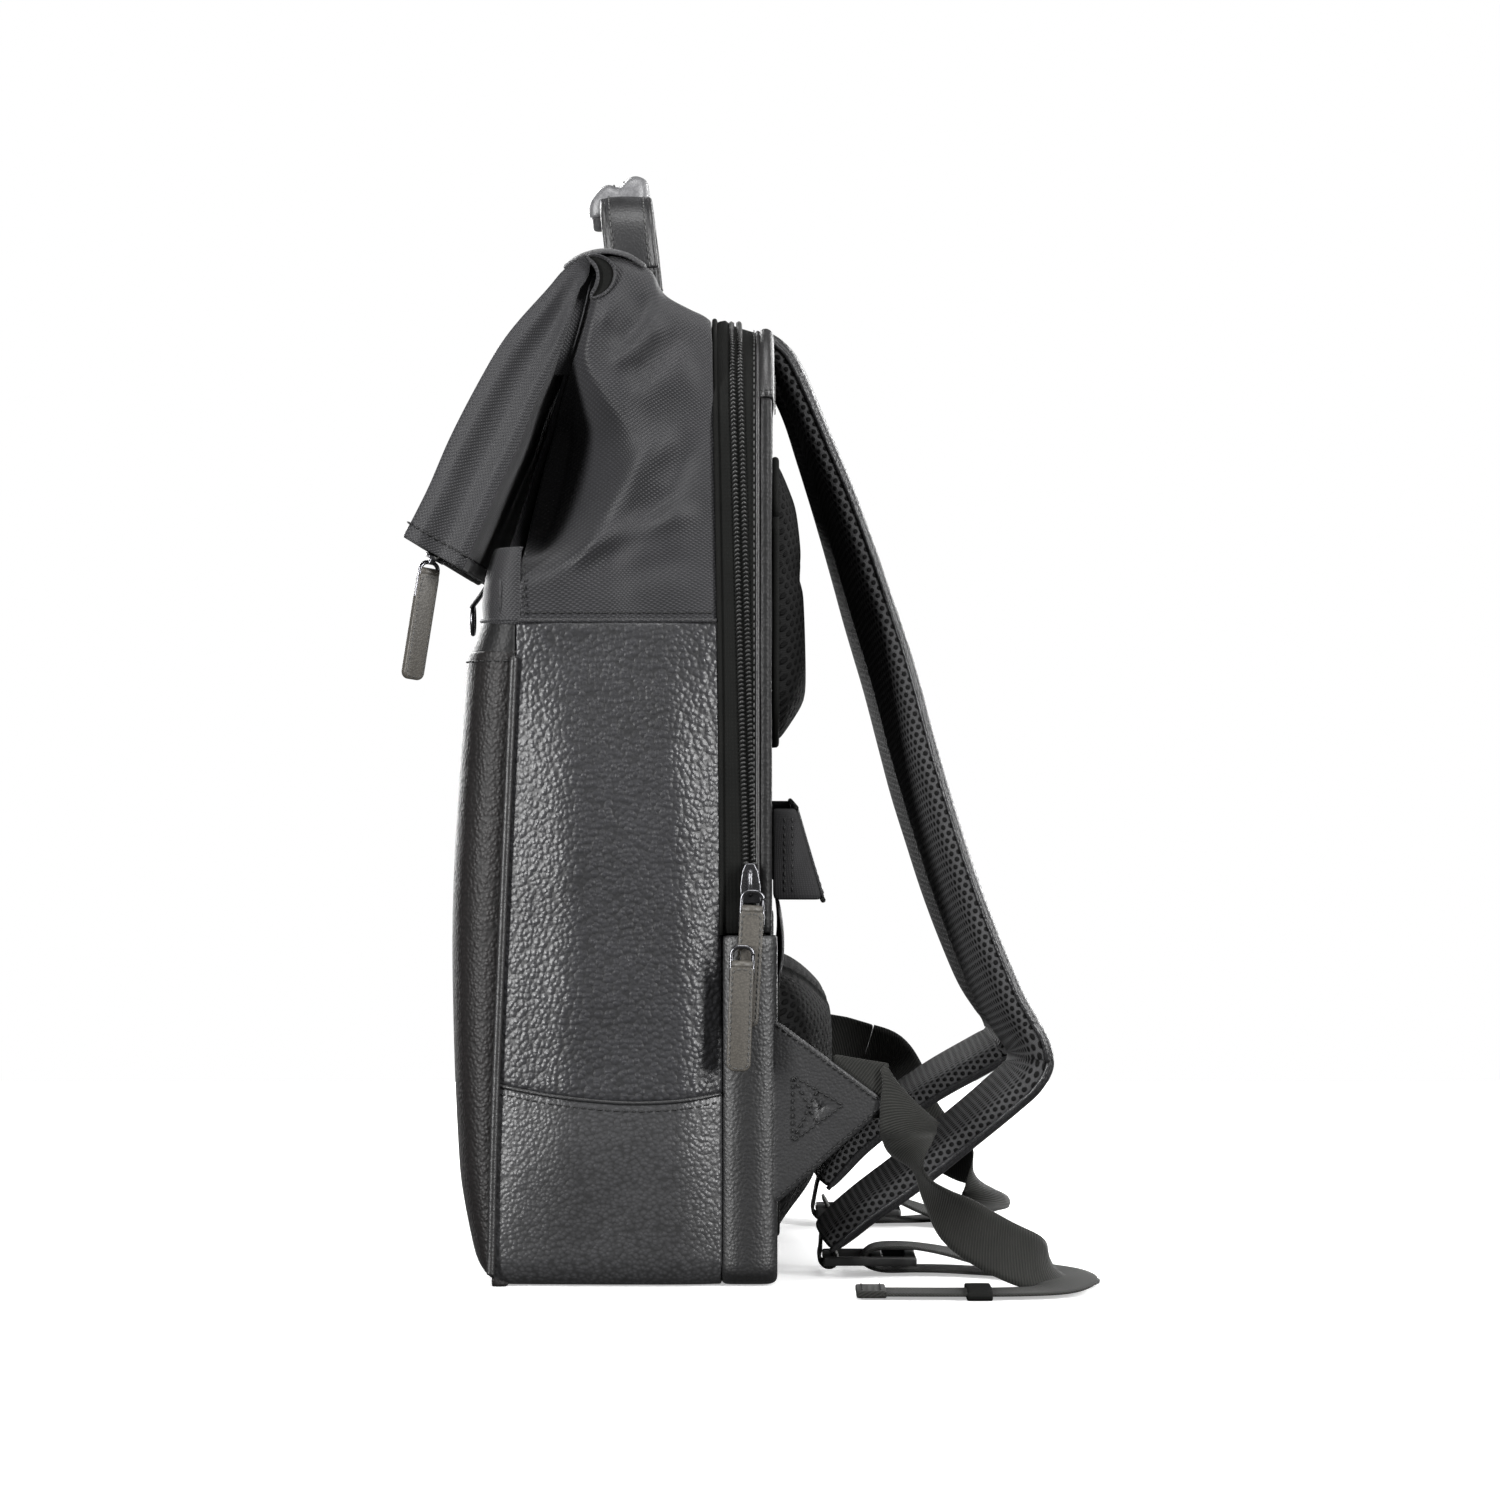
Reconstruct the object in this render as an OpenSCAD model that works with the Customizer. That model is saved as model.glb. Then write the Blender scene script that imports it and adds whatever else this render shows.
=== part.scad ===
// Roll-top leather backpack, standing on its base.
// Z is up, -Y is the front of the bag, +Y is the harness side, X is the width.
// The origin is the centre of the base's underside.

/* [Bag] */
// Width of the bag from side to side
bag_w = 300; // [296:2:304]
// Height of the seam where the leather ends and the coated fabric starts
waist_z = 293; // [291:1:294]
// Height of the boot band round the bottom
boot_h = 85; // [80:1:90]
// Thickness of the outer leather
leather_t = 2.4; // [2:0.1:2.6]
// Thickness of the coated fabric
fabric_t = 1.6; // [1.2:0.1:2]

/* [Laptop compartment] */
// Height of the compartment's arched top
laptop_h = 424; // [422:1:426]
// Corner radius of the arched top
arch_r = 46; // [40:1:50]
// Height of the bottom end of the zip
zip_end_z = 155; // [150:1:158]

/* [Harness] */
// Width of the shoulder straps
strap_w = 62; // [56:1:64]
// Width of the adjusting webbing
webbing_w = 25; // [24:1:26]
// Thickness of the adjusting webbing
webbing_t = 1.6; // [1.4:0.1:1.8]

/* [Hidden] */

// Clearance between neighbouring parts
gap = 0.3;
half_w = bag_w / 2;
// Depths of the bag's layers along Y, from front to back
side_front_y = -50;
main_back_y = 44;
edge_y = 61;
rear_y = 66.5;
pad_face_y = rear_y + gap;
// Radius of the two upright corners of the front
corner_r = 28;
roof_t = 2;

// Front silhouette of the leather body, from the floor up to the waist seam
front_line = [
    [-57, 0], [-62, 2], [-66, 16], [-71, 38], [-73, 56], [-75, 100],
    [-76, 150], [-75, 190], [-72.5, 230], [-69, 280]
];

// Catmull-Rom curve through points, with steps samples on each span
function at(list, i) = list[max(0, min(len(list) - 1, i))];
function blend_point(a, b, c, d, t) =
    0.5 * (2 * b + (c - a) * t + (2 * a - 5 * b + 4 * c - d) * t * t
    + (3 * b - a - 3 * c + d) * t * t * t);
function smooth(list, steps) = [
    for (i = [0:len(list) - 2]) for (s = [0:steps - 1])
        blend_point(at(list, i - 1), at(list, i), at(list, i + 1), at(list, i + 2), s / steps),
    list[len(list) - 1]
];
function unit(v) = v / norm(v);
function shifted(list, dy) = [for (p = list) [p[0] + dy, p[1]]];
function reversed(list) = [for (i = [len(list) - 1:-1:0]) list[i]];
function mirrored(list) = [for (p = list) [-p[0], p[1], p[2]]];

// Edge of a flat strip in 2D, distance d to the left of the line
function edge_of(list, d) = [
    for (i = [0:len(list) - 1])
        let (dir = unit(at(list, i + 1) - at(list, i - 1)))
        list[i] + d * [-dir[1], dir[0]]
];
function strip_outline(list, d0, d1) = concat(edge_of(list, d0), reversed(edge_of(list, d1)));

// Extrudes a Y-Z outline from x0 to x1
module along_x(x0, x1) {
    translate([x0, 0, 0]) rotate([90, 0, 90]) linear_extrude(x1 - x0) children();
}

// Extrudes an X-Z outline from y0 to y1
module along_y(y0, y1) {
    translate([0, y1, 0]) rotate([90, 0, 0]) linear_extrude(y1 - y0) children();
}

// Keeps the part of the children between two heights
module between_z(z0, z1) {
    intersection() {
        children();
        translate([-half_w - 60, -120, z0]) cube([2 * half_w + 120, 340, z1 - z0]);
    }
}

// Keeps the part of the children between two depths
module between_y(y0, y1) {
    intersection() {
        children();
        translate([-half_w - 60, y0, -5]) cube([2 * half_w + 120, y1 - y0, 520]);
    }
}

// The main compartment as one solid, drawn in by inset, with its back at back_y
module main_form(inset, back_y) {
    waist = [[-63, waist_z + 1], [-60, 320], [-60, 330]];
    line = shifted(concat(front_line, waist), inset);
    r = corner_r - inset;
    x = half_w - inset;
    intersection() {
        along_x(-x, x) polygon(concat(line, [[back_y, 330], [back_y, 0]]));
        translate([0, 0, -1]) linear_extrude(340) union() {
            translate([-x, side_front_y, 0]) square([2 * x, back_y - side_front_y]);
            translate([-x + r, -80, 0]) square([2 * (x - r), 50]);
            for (side = [-1, 1])
                translate([side * (x - r), -76 + inset + r, 0]) circle(r, $fn = 64);
        }
    }
}

// A rectangle in X-Z with round top corners and small round bottom corners
module arch_outline(inset, z0, z1) {
    x = half_w - inset;
    top_r = arch_r - inset;
    foot_r = 10;
    union() {
        translate([-x, z0 + foot_r]) square([2 * x, z1 - z0 - foot_r - top_r]);
        translate([-x + top_r, z0 + foot_r]) square([2 * (x - top_r), z1 - z0 - foot_r]);
        translate([-x + foot_r, z0]) square([2 * (x - foot_r), foot_r + 1]);
        for (side = [-1, 1]) {
            translate([side * (x - top_r), z1 - top_r]) circle(top_r, $fn = 64);
            translate([side * (x - foot_r), z0 + foot_r]) circle(foot_r, $fn = 64);
        }
    }
}

// A hollow band of the arch outline
module arch_band(inset, t, z0, z1) {
    difference() {
        arch_outline(inset, z0, z1);
        arch_outline(inset + t, z0 + t, z1 - t);
    }
}

// A flat band swept along a path: section corners are width by thickness,
// lift moves the whole section along its own normal, sides gives the width direction
function ring_at(path, widths, sides, i, t, lift) =
    let (dir = unit(at(path, i + 1) - at(path, i - 1)))
    let (raw = sides[i] - (sides[i] * dir) * dir)
    let (across = unit(raw))
    let (up = cross(across, dir))
    let (w = widths[i] / 2)
    let (c = path[i] + lift * up)
    [
        c - across * w - up * t * 0.2, c - across * (w - t * 0.4) - up * t / 2,
        c + across * (w - t * 0.4) - up * t / 2, c + across * w - up * t * 0.2,
        c + across * w + up * t * 0.2, c + across * (w - t * 0.4) + up * t / 2,
        c - across * (w - t * 0.4) + up * t / 2, c - across * w + up * t * 0.2
    ];

module swept_band(path, widths, sides, t, lift = 0) {
    n = 8;
    rings = [for (i = [0:len(path) - 1]) ring_at(path, widths, sides, i, t, lift)];
    points = [for (ring = rings) each ring];
    last = (len(path) - 1) * n;
    walls = [
        for (i = [0:len(path) - 2]) for (j = [0:n - 1])
            let (k = (j + 1) % n)
            each [
                [i * n + j, i * n + k, (i + 1) * n + k],
                [i * n + j, (i + 1) * n + k, (i + 1) * n + j]
            ]
    ];
    caps = [[for (j = [n - 1:-1:0]) j], [for (j = [0:n - 1]) last + j]];
    polyhedron(points, concat(walls, caps), convexity = 6);
}

// Routes of the webbing from the tab, through the ladder lock, to its free end
web_right_route = [
    [147.2, 117, 86], [148, 124, 85.5], [150.4, 128, 82], [152.2, 127, 75], [153, 127, 64],
    [154, 131, 52], [154, 139, 40], [155, 151, 28], [156, 165, 19], [156, 179, 12.5],
    [154, 190, 7.5], [147, 198, 3.6], [135, 199, 1.8], [123, 192, 1.4], [112, 178, 1.4],
    [104, 160, 1.6], [100, 145, 1.9], [99, 132, 2], [99, 116, 2.1], [99, 108, 6],
    [99, 113, 11.6], [99, 128, 12.4], [101, 146, 10], [108, 164, 6.5], [120, 181, 5.4],
    [138, 193, 5.4], [158, 197, 4.4], [174, 190, 2.2], [181, 172, 1.9], [182, 142, 1.9],
    [181, 104, 1.9]
];
web_right_sides = [
    [0, 0, 1], [0, 0, 1], [0, -0.7, 0.7], [0, -1, 0], [0, -1, -0.1],
    [-0.8, -0.5, -0.2], [-0.6, -0.6, -0.5], [0, -0.7, -0.8], [0, -0.6, -0.8], [0.3, -0.4, -0.8],
    [0.8, 0.1, -0.5], [0.7, 0.8, -0.1], [0, 1, 0], [-0.5, 0.8, 0], [-0.9, 0.5, 0],
    [-1, 0.3, 0], [-1, 0.1, 0], [-1, 0, 0], [-1, 0, 0], [-1, 0, 0],
    [-1, 0, 0], [-1, 0, 0], [-1, 0.2, 0], [-1, 0.5, 0], [-0.8, 0.8, 0],
    [-0.3, 1, 0], [0.2, 1, 0], [0.8, 0.6, 0], [1, 0.2, 0], [1, 0, 0],
    [1, 0, 0]
];
web_left_route = [
    [-148, 117, 84], [-150, 127, 80], [-151, 134, 70], [-151, 139, 56], [-151, 147, 43],
    [-150, 156, 34], [-147, 166, 25], [-141, 174, 16], [-133, 177, 9], [-124, 171, 4.4],
    [-115, 160, 2.2], [-107, 149, 1.9], [-101, 139, 1.9], [-99, 130, 2], [-99, 116, 2.1],
    [-99, 108, 6], [-99, 113, 11.6], [-99, 128, 12.4], [-95, 145, 7], [-88, 162, 1.6]
];
web_left_sides = [
    [0, 0, 1], [0, 0.4, 0.9], [0, 0.8, 0.5], [0, 1, 0.3], [0, 0.8, 0.6],
    [0.2, 0.5, 0.8], [0.5, 0.2, 0.7], [0.6, -0.5, 0.35], [0.1, -0.9, 0.1], [-0.7, -0.7, 0],
    [-0.8, -0.6, 0], [-0.85, -0.5, 0], [-0.95, -0.3, 0], [-1, 0, 0], [-1, 0, 0],
    [-1, 0, 0], [-1, 0, 0], [-1, 0, 0], [-1, 0.3, 0], [-1, 0.4, 0]
];

// Middle lines of the shoulder straps, from the yoke down to the ladder lock
strap_top = [
    [52, 74.5, 411], [54, 80.5, 398], [57, 88, 377], [63, 100.5, 341], [69, 112, 304],
    [74, 122, 272], [79, 131, 238], [83, 139, 210], [87, 149, 178], [91, 160, 148],
    [94, 170, 124], [95, 178.5, 110], [96, 182.6, 103], [96, 183.8, 96.5], [97, 181, 90]
];
strap_foot_right = [[97, 174, 83], [98, 151, 64], [99, 127, 45], [99, 107, 30], [99, 90, 15.5]];
strap_foot_left = [[97, 174, 86], [98, 151, 73], [99, 127, 57], [99, 107, 40], [99, 92, 22]];
strap_sides = [
    [1, 0, 0], [1, 0, 0], [1, 0.04, 0], [1, 0.1, 0.04], [1, 0.14, 0.06], [1, 0.16, 0.06],
    [1, 0.16, 0.06], [1, 0.16, 0.06], [1, 0.16, 0.06], [1, 0.16, 0.06], [1, 0.16, 0.06],
    [1, 0.16, 0.04], [1, 0.16, 0], [1, 0.15, -0.04], [1, 0.13, -0.08], [1, 0.11, -0.11],
    [1, 0.1, -0.12], [1, 0.1, -0.12], [1, 0.1, -0.1], [1, 0.1, -0.1]
];
foam_t = 6;
skin_t = 2.2;
skin_lift = 5;
// Distance of a ladder lock from the middle of the bag
lock_x = 99;

// Flap contours from the fold down to the hem, and the slider's place on the hem
flap_outer = [
    [-16, 454.5], [-25, 449], [-32, 441], [-50, 421], [-63, 400], [-76, 375], [-86, 352],
    [-97, 330.6]
];
flap_inner = [
    [-18, 439], [-21, 427], [-27, 408], [-36, 389], [-43, 371], [-52, 352], [-62, 329],
    [-68, 314.6]
];
mouth_x = 138;

// The zip leans: its middle is at zip_top_y at the arch and moves back lower down
zip_top_y = 50.5;
zip_lean = 1.6;
chain_w = 6;
module lean_with_zip() {
    translate([0, zip_top_y, laptop_h]) rotate([zip_lean, 0, 0]) translate([0, 0, -laptop_h]) children();
}

// Leather boot: the base and the lower sides of the main compartment
module boot() {
    color("#2c2a2a") difference() {
        between_y(side_front_y, main_back_y) between_z(0, boot_h) main_form(0, main_back_y);
        translate([0, 0, 3]) between_z(0, boot_h) main_form(leather_t, main_back_y - leather_t);
    }
}

// Stiff board that keeps the bottom flat
module base_board() {
    color("#5a5248") translate([-half_w + 16, -48, 3.3]) cube([bag_w - 32, 85, 2.2]);
}

// Inner front wall, behind the pocket
module front_wall() {
    wall = [[-50.6, 4], [-58, 30], [-60, 60], [-60, waist_z - gap], [-61.6, waist_z - gap],
        [-61.6, 60], [-59.6, 29.6], [-52.2, 4]];
    color("#2a2727") along_x(-half_w + 30, half_w - 30) polygon(wall);
}

// Outer leather panel of the front, which makes the front pocket
module pocket_panel() {
    color("#4a3f3c") difference() {
        between_y(-80, side_front_y - gap) between_z(0, 280) main_form(0, main_back_y);
        between_z(3, 282) main_form(leather_t, main_back_y);
    }
}

// Turned lip along the pocket's mouth
module pocket_lip() {
    lip = [[-69, 280.3], [-67.4, 285], [-66, 285], [-66.8, 280.3]];
    color("#332c2a") along_x(-half_w + 26, half_w - 26) polygon(lip);
}

// Blank leather patch low on the front
module front_patch() {
    outline = [[-73.2, 57], [-74.4, 84], [-77.8, 83.6], [-76.8, 57.4]];
    color("#3a3130") along_x(-36, 36) polygon(outline);
}

module side_gusset(side) {
    outline = [
        [side_front_y, boot_h + gap], [main_back_y, boot_h + gap],
        [main_back_y - 1, waist_z - gap], [side_front_y, waist_z - gap]
    ];
    x = side > 0 ? half_w - leather_t : -half_w;
    color("#333032") along_x(x, x + leather_t) polygon(outline);
}
module side_gusset_right() { side_gusset(1); }
module side_gusset_left() { side_gusset(-1); }

// Tube piping between the front panel and a side gusset
module piping(side) {
    x = side * (half_w + 1.3);
    color("#7c787a") translate([x, -55, 14]) rotate([-2, 0, 0]) cylinder(h = 264, r = 1.2, $fn = 16);
}
module piping_right() { piping(1); }
module piping_left() { piping(-1); }

// Coated fabric side wall between the waist and the roof
module upper_side(side) {
    outline = [
        [-62, waist_z], [-60, 313], [-56, 326], [-47, 350], [-38, 371], [-31, 389],
        [-22, 408], [-15, 427], [-12, 440], [-9, 449], [-4, 451], [13, 444], [19, 434.5],
        [29, 428], [36, 421], [40, 412], [main_back_y - 1, waist_z]
    ];
    x = side > 0 ? half_w - fabric_t : -half_w;
    color("#454447") along_x(x, x + fabric_t) polygon(outline);
}
module upper_side_right() { upper_side(1); }
module upper_side_left() { upper_side(-1); }

// Coated fabric front strip under the flap's hem
module upper_front() {
    strip = [
        [-62, waist_z], [-60, 313], [-56, 326], [-54.6, 325.4], [-58.4, 313], [-60.4, waist_z]
    ];
    x = half_w - fabric_t - gap;
    color("#454447") along_x(-x, x) polygon(strip);
}

// Roof from the fold to the laptop compartment
module upper_back() {
    line = [[-9, 454], [-3, 454.6], [14, 447.6], [20.5, 437.6], [30, 431.6], [37, 425]];
    color("#454447") along_x(-half_w, half_w) polygon(strip_outline(line, -roof_t, 0));
}

// Thin lining of the main compartment
module lining() {
    x = half_w - 4.4;
    color("#1f2022") difference() {
        translate([-x, -49.6, 5.9]) cube([2 * x, 87.2, waist_z + 9]);
        translate([-x + 0.8, -48.8, 6.7]) cube([2 * x - 1.6, 85.6, waist_z + 20]);
    }
}

// Padded wall between the main and the laptop compartment
module divider() {
    color("#242426") along_y(38, 41.3) arch_outline(3.2, 6, 412);
}

// Leather band round the lower half of the laptop compartment
module laptop_gusset() {
    color("#2f2c2d") along_y(main_back_y + gap, 69.5) intersection() {
        arch_band(0, leather_t, 0, laptop_h);
        translate([-half_w, 0]) square([bag_w, zip_end_z]);
    }
}

// Tape of the zip over the top of the laptop compartment
module zip_tape() {
    color("#333431") along_y(main_back_y + gap, edge_y - gap) intersection() {
        arch_band(0.4, fabric_t, 0, laptop_h);
        translate([-half_w, zip_end_z + gap]) square([bag_w, laptop_h]);
    }
}

// Coil of the zip, standing proud of its tape
module zip_chain() {
    color("#1b1b1b") lean_with_zip() along_y(-chain_w / 2, chain_w / 2) difference() {
        arch_outline(-0.8, 0, laptop_h + 1.2);
        arch_outline(0.1, 0, laptop_h + gap);
        translate([-half_w - 5, -5]) square([bag_w + 10, zip_end_z + 5]);
    }
}

// Leather edge band between the zip and the back panel
module back_edge() {
    color("#383436") along_y(edge_y, rear_y) intersection() {
        arch_band(0, leather_t, 0, laptop_h);
        translate([-half_w, zip_end_z + gap]) square([bag_w, 390 - gap - zip_end_z]);
    }
}

// Leather yoke over the top corners of the back
module back_cap() {
    color("#3f3c3e") along_y(edge_y, rear_y) intersection() {
        arch_band(0, leather_t, 0, laptop_h);
        translate([-half_w, 390]) square([bag_w, laptop_h]);
    }
}

// Fabric back wall of the laptop compartment
module back_panel() {
    color("#3c3b3d") along_y(rear_y - 2, rear_y) arch_outline(leather_t + gap, 3, laptop_h - 3);
}

// Stiff board behind the back wall
module back_board() {
    color("#6a6a66") along_y(rear_y - 5, rear_y - 2 - gap) arch_outline(10, 12, 400);
}

// Air-mesh pad for a shoulder blade
module upper_pad(side) {
    outline = [
        [pad_face_y, 240], [76, 244], [80.5, 250], [82.5, 263], [81, 302], [78, 346],
        [72, 362], [pad_face_y, 366]
    ];
    x = side > 0 ? 8 : -128;
    color("#252525") along_x(x, x + 120) polygon(outline);
}
module upper_pad_right() { upper_pad(1); }
module upper_pad_left() { upper_pad(-1); }

// Air-mesh pad for the small of the back
module lumbar_pad() {
    outline = [
        [pad_face_y, 20], [76, 22], [88, 42], [95, 75], [96, 110], [93, 130], [84, 136],
        [pad_face_y, 136.5]
    ];
    color("#252525") along_x(-126, 126) polygon(outline);
}

// Band that slips over a trolley handle, closed at both sides
module luggage_strap() {
    band = [[78, 211], [90, 170], [88.3, 169.5], [76.3, 210.5]];
    root = [[pad_face_y, 211], [78, 211], [90, 170], [pad_face_y, 170.5]];
    color("#3a393b") union() {
        along_x(-140, 140) polygon(band);
        for (x = [-141, 133]) along_x(x, x + 8) polygon(root);
    }
}

// Leather panel with a stitched binding, above the lumbar pad
module binding_panel() {
    color("#343032") translate([-132, pad_face_y, 137]) cube([264, 3, 31]);
}

// Triangular leather tab that holds the webbing
module tab(side) {
    outline = [[69.8, 118], [116, 81], [69.8, 36]];
    x = side > 0 ? half_w - 3.4 : -half_w + 0.4;
    color("#2f2c2d") along_x(x, x + 3) polygon(outline);
}
module tab_right() { tab(1); }
module tab_left() { tab(-1); }

// Round stud that takes the closure ring
module closure_peg() {
    color("#55565a") translate([0, -61.2, 304]) rotate([90, 0, 0]) union() {
        cylinder(h = 6, r = 2.2, $fn = 32);
        translate([0, 0, 6]) cylinder(h = 2.2, r = 4.5, $fn = 32);
    }
}

module webbing(route, sides) {
    widths = [for (p = route) webbing_w];
    color("#3c3d39") swept_band(smooth(route, 2), smooth(widths, 2), smooth(sides, 2), webbing_t);
}
module webbing_right() { webbing(web_right_route, web_right_sides); }
module webbing_left() { webbing(web_left_route, web_left_sides); }

// Elastic keeper round the webbing's tail
module webbing_keeper() {
    color("#26261f") translate([182, 156, 1.9]) difference() {
        cube([29, 11, 3.8], center = true);
        cube([26.4, 12, 2.2], center = true);
    }
}

// Rolled flap: an outer and an inner wall joined by side gussets, open at the hem
module flap() {
    outer = smooth(flap_outer, 3);
    inner = smooth(flap_inner, 3);
    full = concat(outer, reversed(inner));
    color("#6a696e") union() {
        along_x(-half_w, half_w) polygon(strip_outline(outer, 0, 1.8));
        along_x(-half_w, half_w) polygon(strip_outline(inner, 0, -1.6));
        for (x = [-half_w, half_w - 1.8]) along_x(x, x + 1.8) polygon(full);
    }
}

// Zip that closes the flap's mouth along the hem
module flap_zip() {
    color("#1b1b1b") along_x(-half_w + 2.5, half_w - 2.5)
        polygon([[-93.6, 331.2], [-70.6, 318.6], [-71.8, 316.6], [-94.8, 329]]);
}

// Leather chape that holds the closure ring at the hem
module flap_loop() {
    color("#2f2c2d") along_x(-6, 6)
        polygon([[-70, 313.4], [-68.4, 312.2], [-72, 305.6], [-73.8, 306.6]]);
}

// Wire ring that hooks over the stud
module closure_ring() {
    color("#77787c") translate([0, -74.5, 298]) rotate([90, 0, 0])
        rotate_extrude($fn = 48) translate([6.5, 0]) circle(1.1, $fn = 16);
}

// Slider body of a zip: two plates joined by a neck, at the origin, plates across X
module slider_body() {
    for (x = [-1.6, 1.8]) translate([x - 0.8, -4.6, -9]) cube([1.6, 9.2, 18]);
    translate([-1.6, -1.4, -3]) cube([3.4, 2.8, 6]);
}

// Wire ring and leather tab hanging from a slider, at the ring's top
module puller(tab_len) {
    union() {
        difference() {
            translate([-0.9, -5.5, -19]) cube([1.8, 11, 20]);
            translate([-2, -3.7, -17.2]) cube([4, 7.4, 16.4]);
        }
        translate([-1.7, -5.2, -19.1 - tab_len]) cube([3.4, 10.4, tab_len]);
    }
}

// Slider at the end of the flap's mouth zip
module flap_slider() {
    color("#55565a") translate([mouth_x, -83.6, 319.8]) rotate([-29, 0, 0]) rotate([0, 90, 0])
        translate([-1.6, 0, 0]) union() {
            translate([-0.8, -4.6, -7]) cube([1.6, 9.2, 14]);
            translate([0.8, -1.4, -3]) cube([2, 2.8, 6]);
        }
}

module flap_puller() {
    color("#5f5b53") translate([mouth_x, -84.5, 314]) rotate([0, 0, 90]) puller(30);
}

// Carrying handle: a leather band bent over the roof
handle_line = [
    [-50, 457], [-50, 470], [-46, 482], [-34, 490], [-14, 494], [14, 494], [34, 490],
    [46, 482], [50, 470], [50, 457]
];
module handle() {
    color("#4c4b50") translate([0, 3, 0]) along_y(-11, 11)
        polygon(strip_outline(smooth(handle_line, 3), 0, 3.6));
}

// Padded leather wrap round the middle of the handle
module handle_wrap() {
    outline = [
        [-9, 487], [15, 487], [17.4, 491], [17.4, 500], [14.5, 504], [6, 504.6], [3, 503],
        [0, 504.6], [-8.5, 504], [-11.4, 500], [-11.4, 491]
    ];
    color("#b6b5b8") difference() {
        along_x(-30, 30) polygon(outline);
        translate([0, 3, 0]) along_y(-11.3, 11.3)
            polygon(strip_outline(smooth(handle_line, 3), -gap, 3.6 + gap));
    }
}

module zip_slider_upper() {
    color("#77787c") lean_with_zip() translate([half_w + 4.4, 0, 178]) slider_body();
}
module puller_upper() {
    color("#5f5b53") translate([half_w + 9.4, 58.5, 174]) rotate([-3, 0, 0]) puller(40);
}
module zip_slider_lower() {
    color("#77787c") lean_with_zip() translate([half_w + 4.4, 0, 156]) slider_body();
}
module puller_lower() {
    color("#5f5b53") translate([half_w + 13.4, 54, 150]) rotate([-2, 0, 0]) puller(35);
}

// Layers of a shoulder strap, outside to inside
function strap_path(foot) = smooth(concat(strap_top, foot), 2);
function strap_widths(foot) =
    let (n = len(strap_top) + len(foot))
    smooth([for (i = [0:n - 1]) i < 11 ? strap_w : strap_w - (i - 10) * 2.6], 2);

module strap_layer(foot, side, t, lift, inset) {
    path = strap_path(foot);
    line = side > 0 ? path : mirrored(path);
    widths = [for (w = strap_widths(foot)) w - inset];
    swept_band(line, widths, smooth(strap_sides, 2), t, lift);
}
module strap_leather_right() { color("#3b393c") strap_layer(strap_foot_right, 1, skin_t, skin_lift, 0); }
module strap_foam_right() { color("#8a8a86") strap_layer(strap_foot_right, 1, foam_t, 0, 6); }
module strap_mesh_right() { color("#161616") strap_layer(strap_foot_right, 1, skin_t, -skin_lift, 0); }
module strap_leather_left() { color("#3b393c") strap_layer(strap_foot_left, -1, skin_t, skin_lift, 0); }
module strap_foam_left() { color("#8a8a86") strap_layer(strap_foot_left, -1, foam_t, 0, 6); }
module strap_mesh_left() { color("#161616") strap_layer(strap_foot_left, -1, skin_t, -skin_lift, 0); }

// Webbing adjuster with three bars
module ladder_lock(side) {
    color("#151515") translate([side * lock_x, 0, 0]) union() {
        for (x = [-17.5, 13.5]) translate([x, 90, 5]) cube([4, 42, 4]);
        for (y = [90, 112, 127]) translate([-14, y, 5]) cube([28, 5, 4]);
    }
}
module ladder_lock_right() { ladder_lock(1); }
module ladder_lock_left() { ladder_lock(-1); }

boot();
base_board();
front_wall();
pocket_panel();
pocket_lip();
front_patch();
side_gusset_right();
side_gusset_left();
piping_right();
piping_left();
upper_side_right();
upper_side_left();
upper_front();
upper_back();
lining();
divider();
laptop_gusset();
zip_tape();
zip_chain();
back_edge();
back_cap();
back_panel();
back_board();
upper_pad_right();
upper_pad_left();
lumbar_pad();
luggage_strap();
binding_panel();
tab_right();
tab_left();
closure_peg();
webbing_right();
webbing_left();
webbing_keeper();
flap();
flap_zip();
flap_loop();
closure_ring();
flap_slider();
flap_puller();
handle();
handle_wrap();
zip_slider_upper();
puller_upper();
zip_slider_lower();
puller_lower();
strap_leather_right();
strap_foam_right();
strap_mesh_right();
ladder_lock_right();
strap_leather_left();
strap_foam_left();
strap_mesh_left();
ladder_lock_left();
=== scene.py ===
"""Looks of a roll-top leather backpack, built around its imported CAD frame.

The bag's lengths are in millimetres in the shared frame (Z up, -Y the bag's front, +X the
wearer's right); mesh_object() turns them into metres.
"""
import math

import bmesh
import bpy
from mathutils import Matrix, Vector, noise


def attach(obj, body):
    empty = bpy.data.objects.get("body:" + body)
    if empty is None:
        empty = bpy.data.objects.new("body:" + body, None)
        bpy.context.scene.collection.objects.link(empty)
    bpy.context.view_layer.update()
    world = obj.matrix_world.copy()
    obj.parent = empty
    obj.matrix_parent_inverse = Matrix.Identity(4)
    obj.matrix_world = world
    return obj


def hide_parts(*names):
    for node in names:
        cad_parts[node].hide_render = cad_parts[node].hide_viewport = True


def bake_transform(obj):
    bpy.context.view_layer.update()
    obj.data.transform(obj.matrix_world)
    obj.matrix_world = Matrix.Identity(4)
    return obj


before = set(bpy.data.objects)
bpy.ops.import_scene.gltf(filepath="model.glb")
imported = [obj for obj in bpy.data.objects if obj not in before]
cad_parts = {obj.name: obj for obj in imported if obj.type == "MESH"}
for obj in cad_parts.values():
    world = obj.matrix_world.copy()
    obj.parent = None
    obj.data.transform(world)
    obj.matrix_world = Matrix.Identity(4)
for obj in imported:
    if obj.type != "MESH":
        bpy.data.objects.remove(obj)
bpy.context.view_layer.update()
MM = 0.001


# ---------------------------------------------------------------- camera, lights and stage

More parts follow.
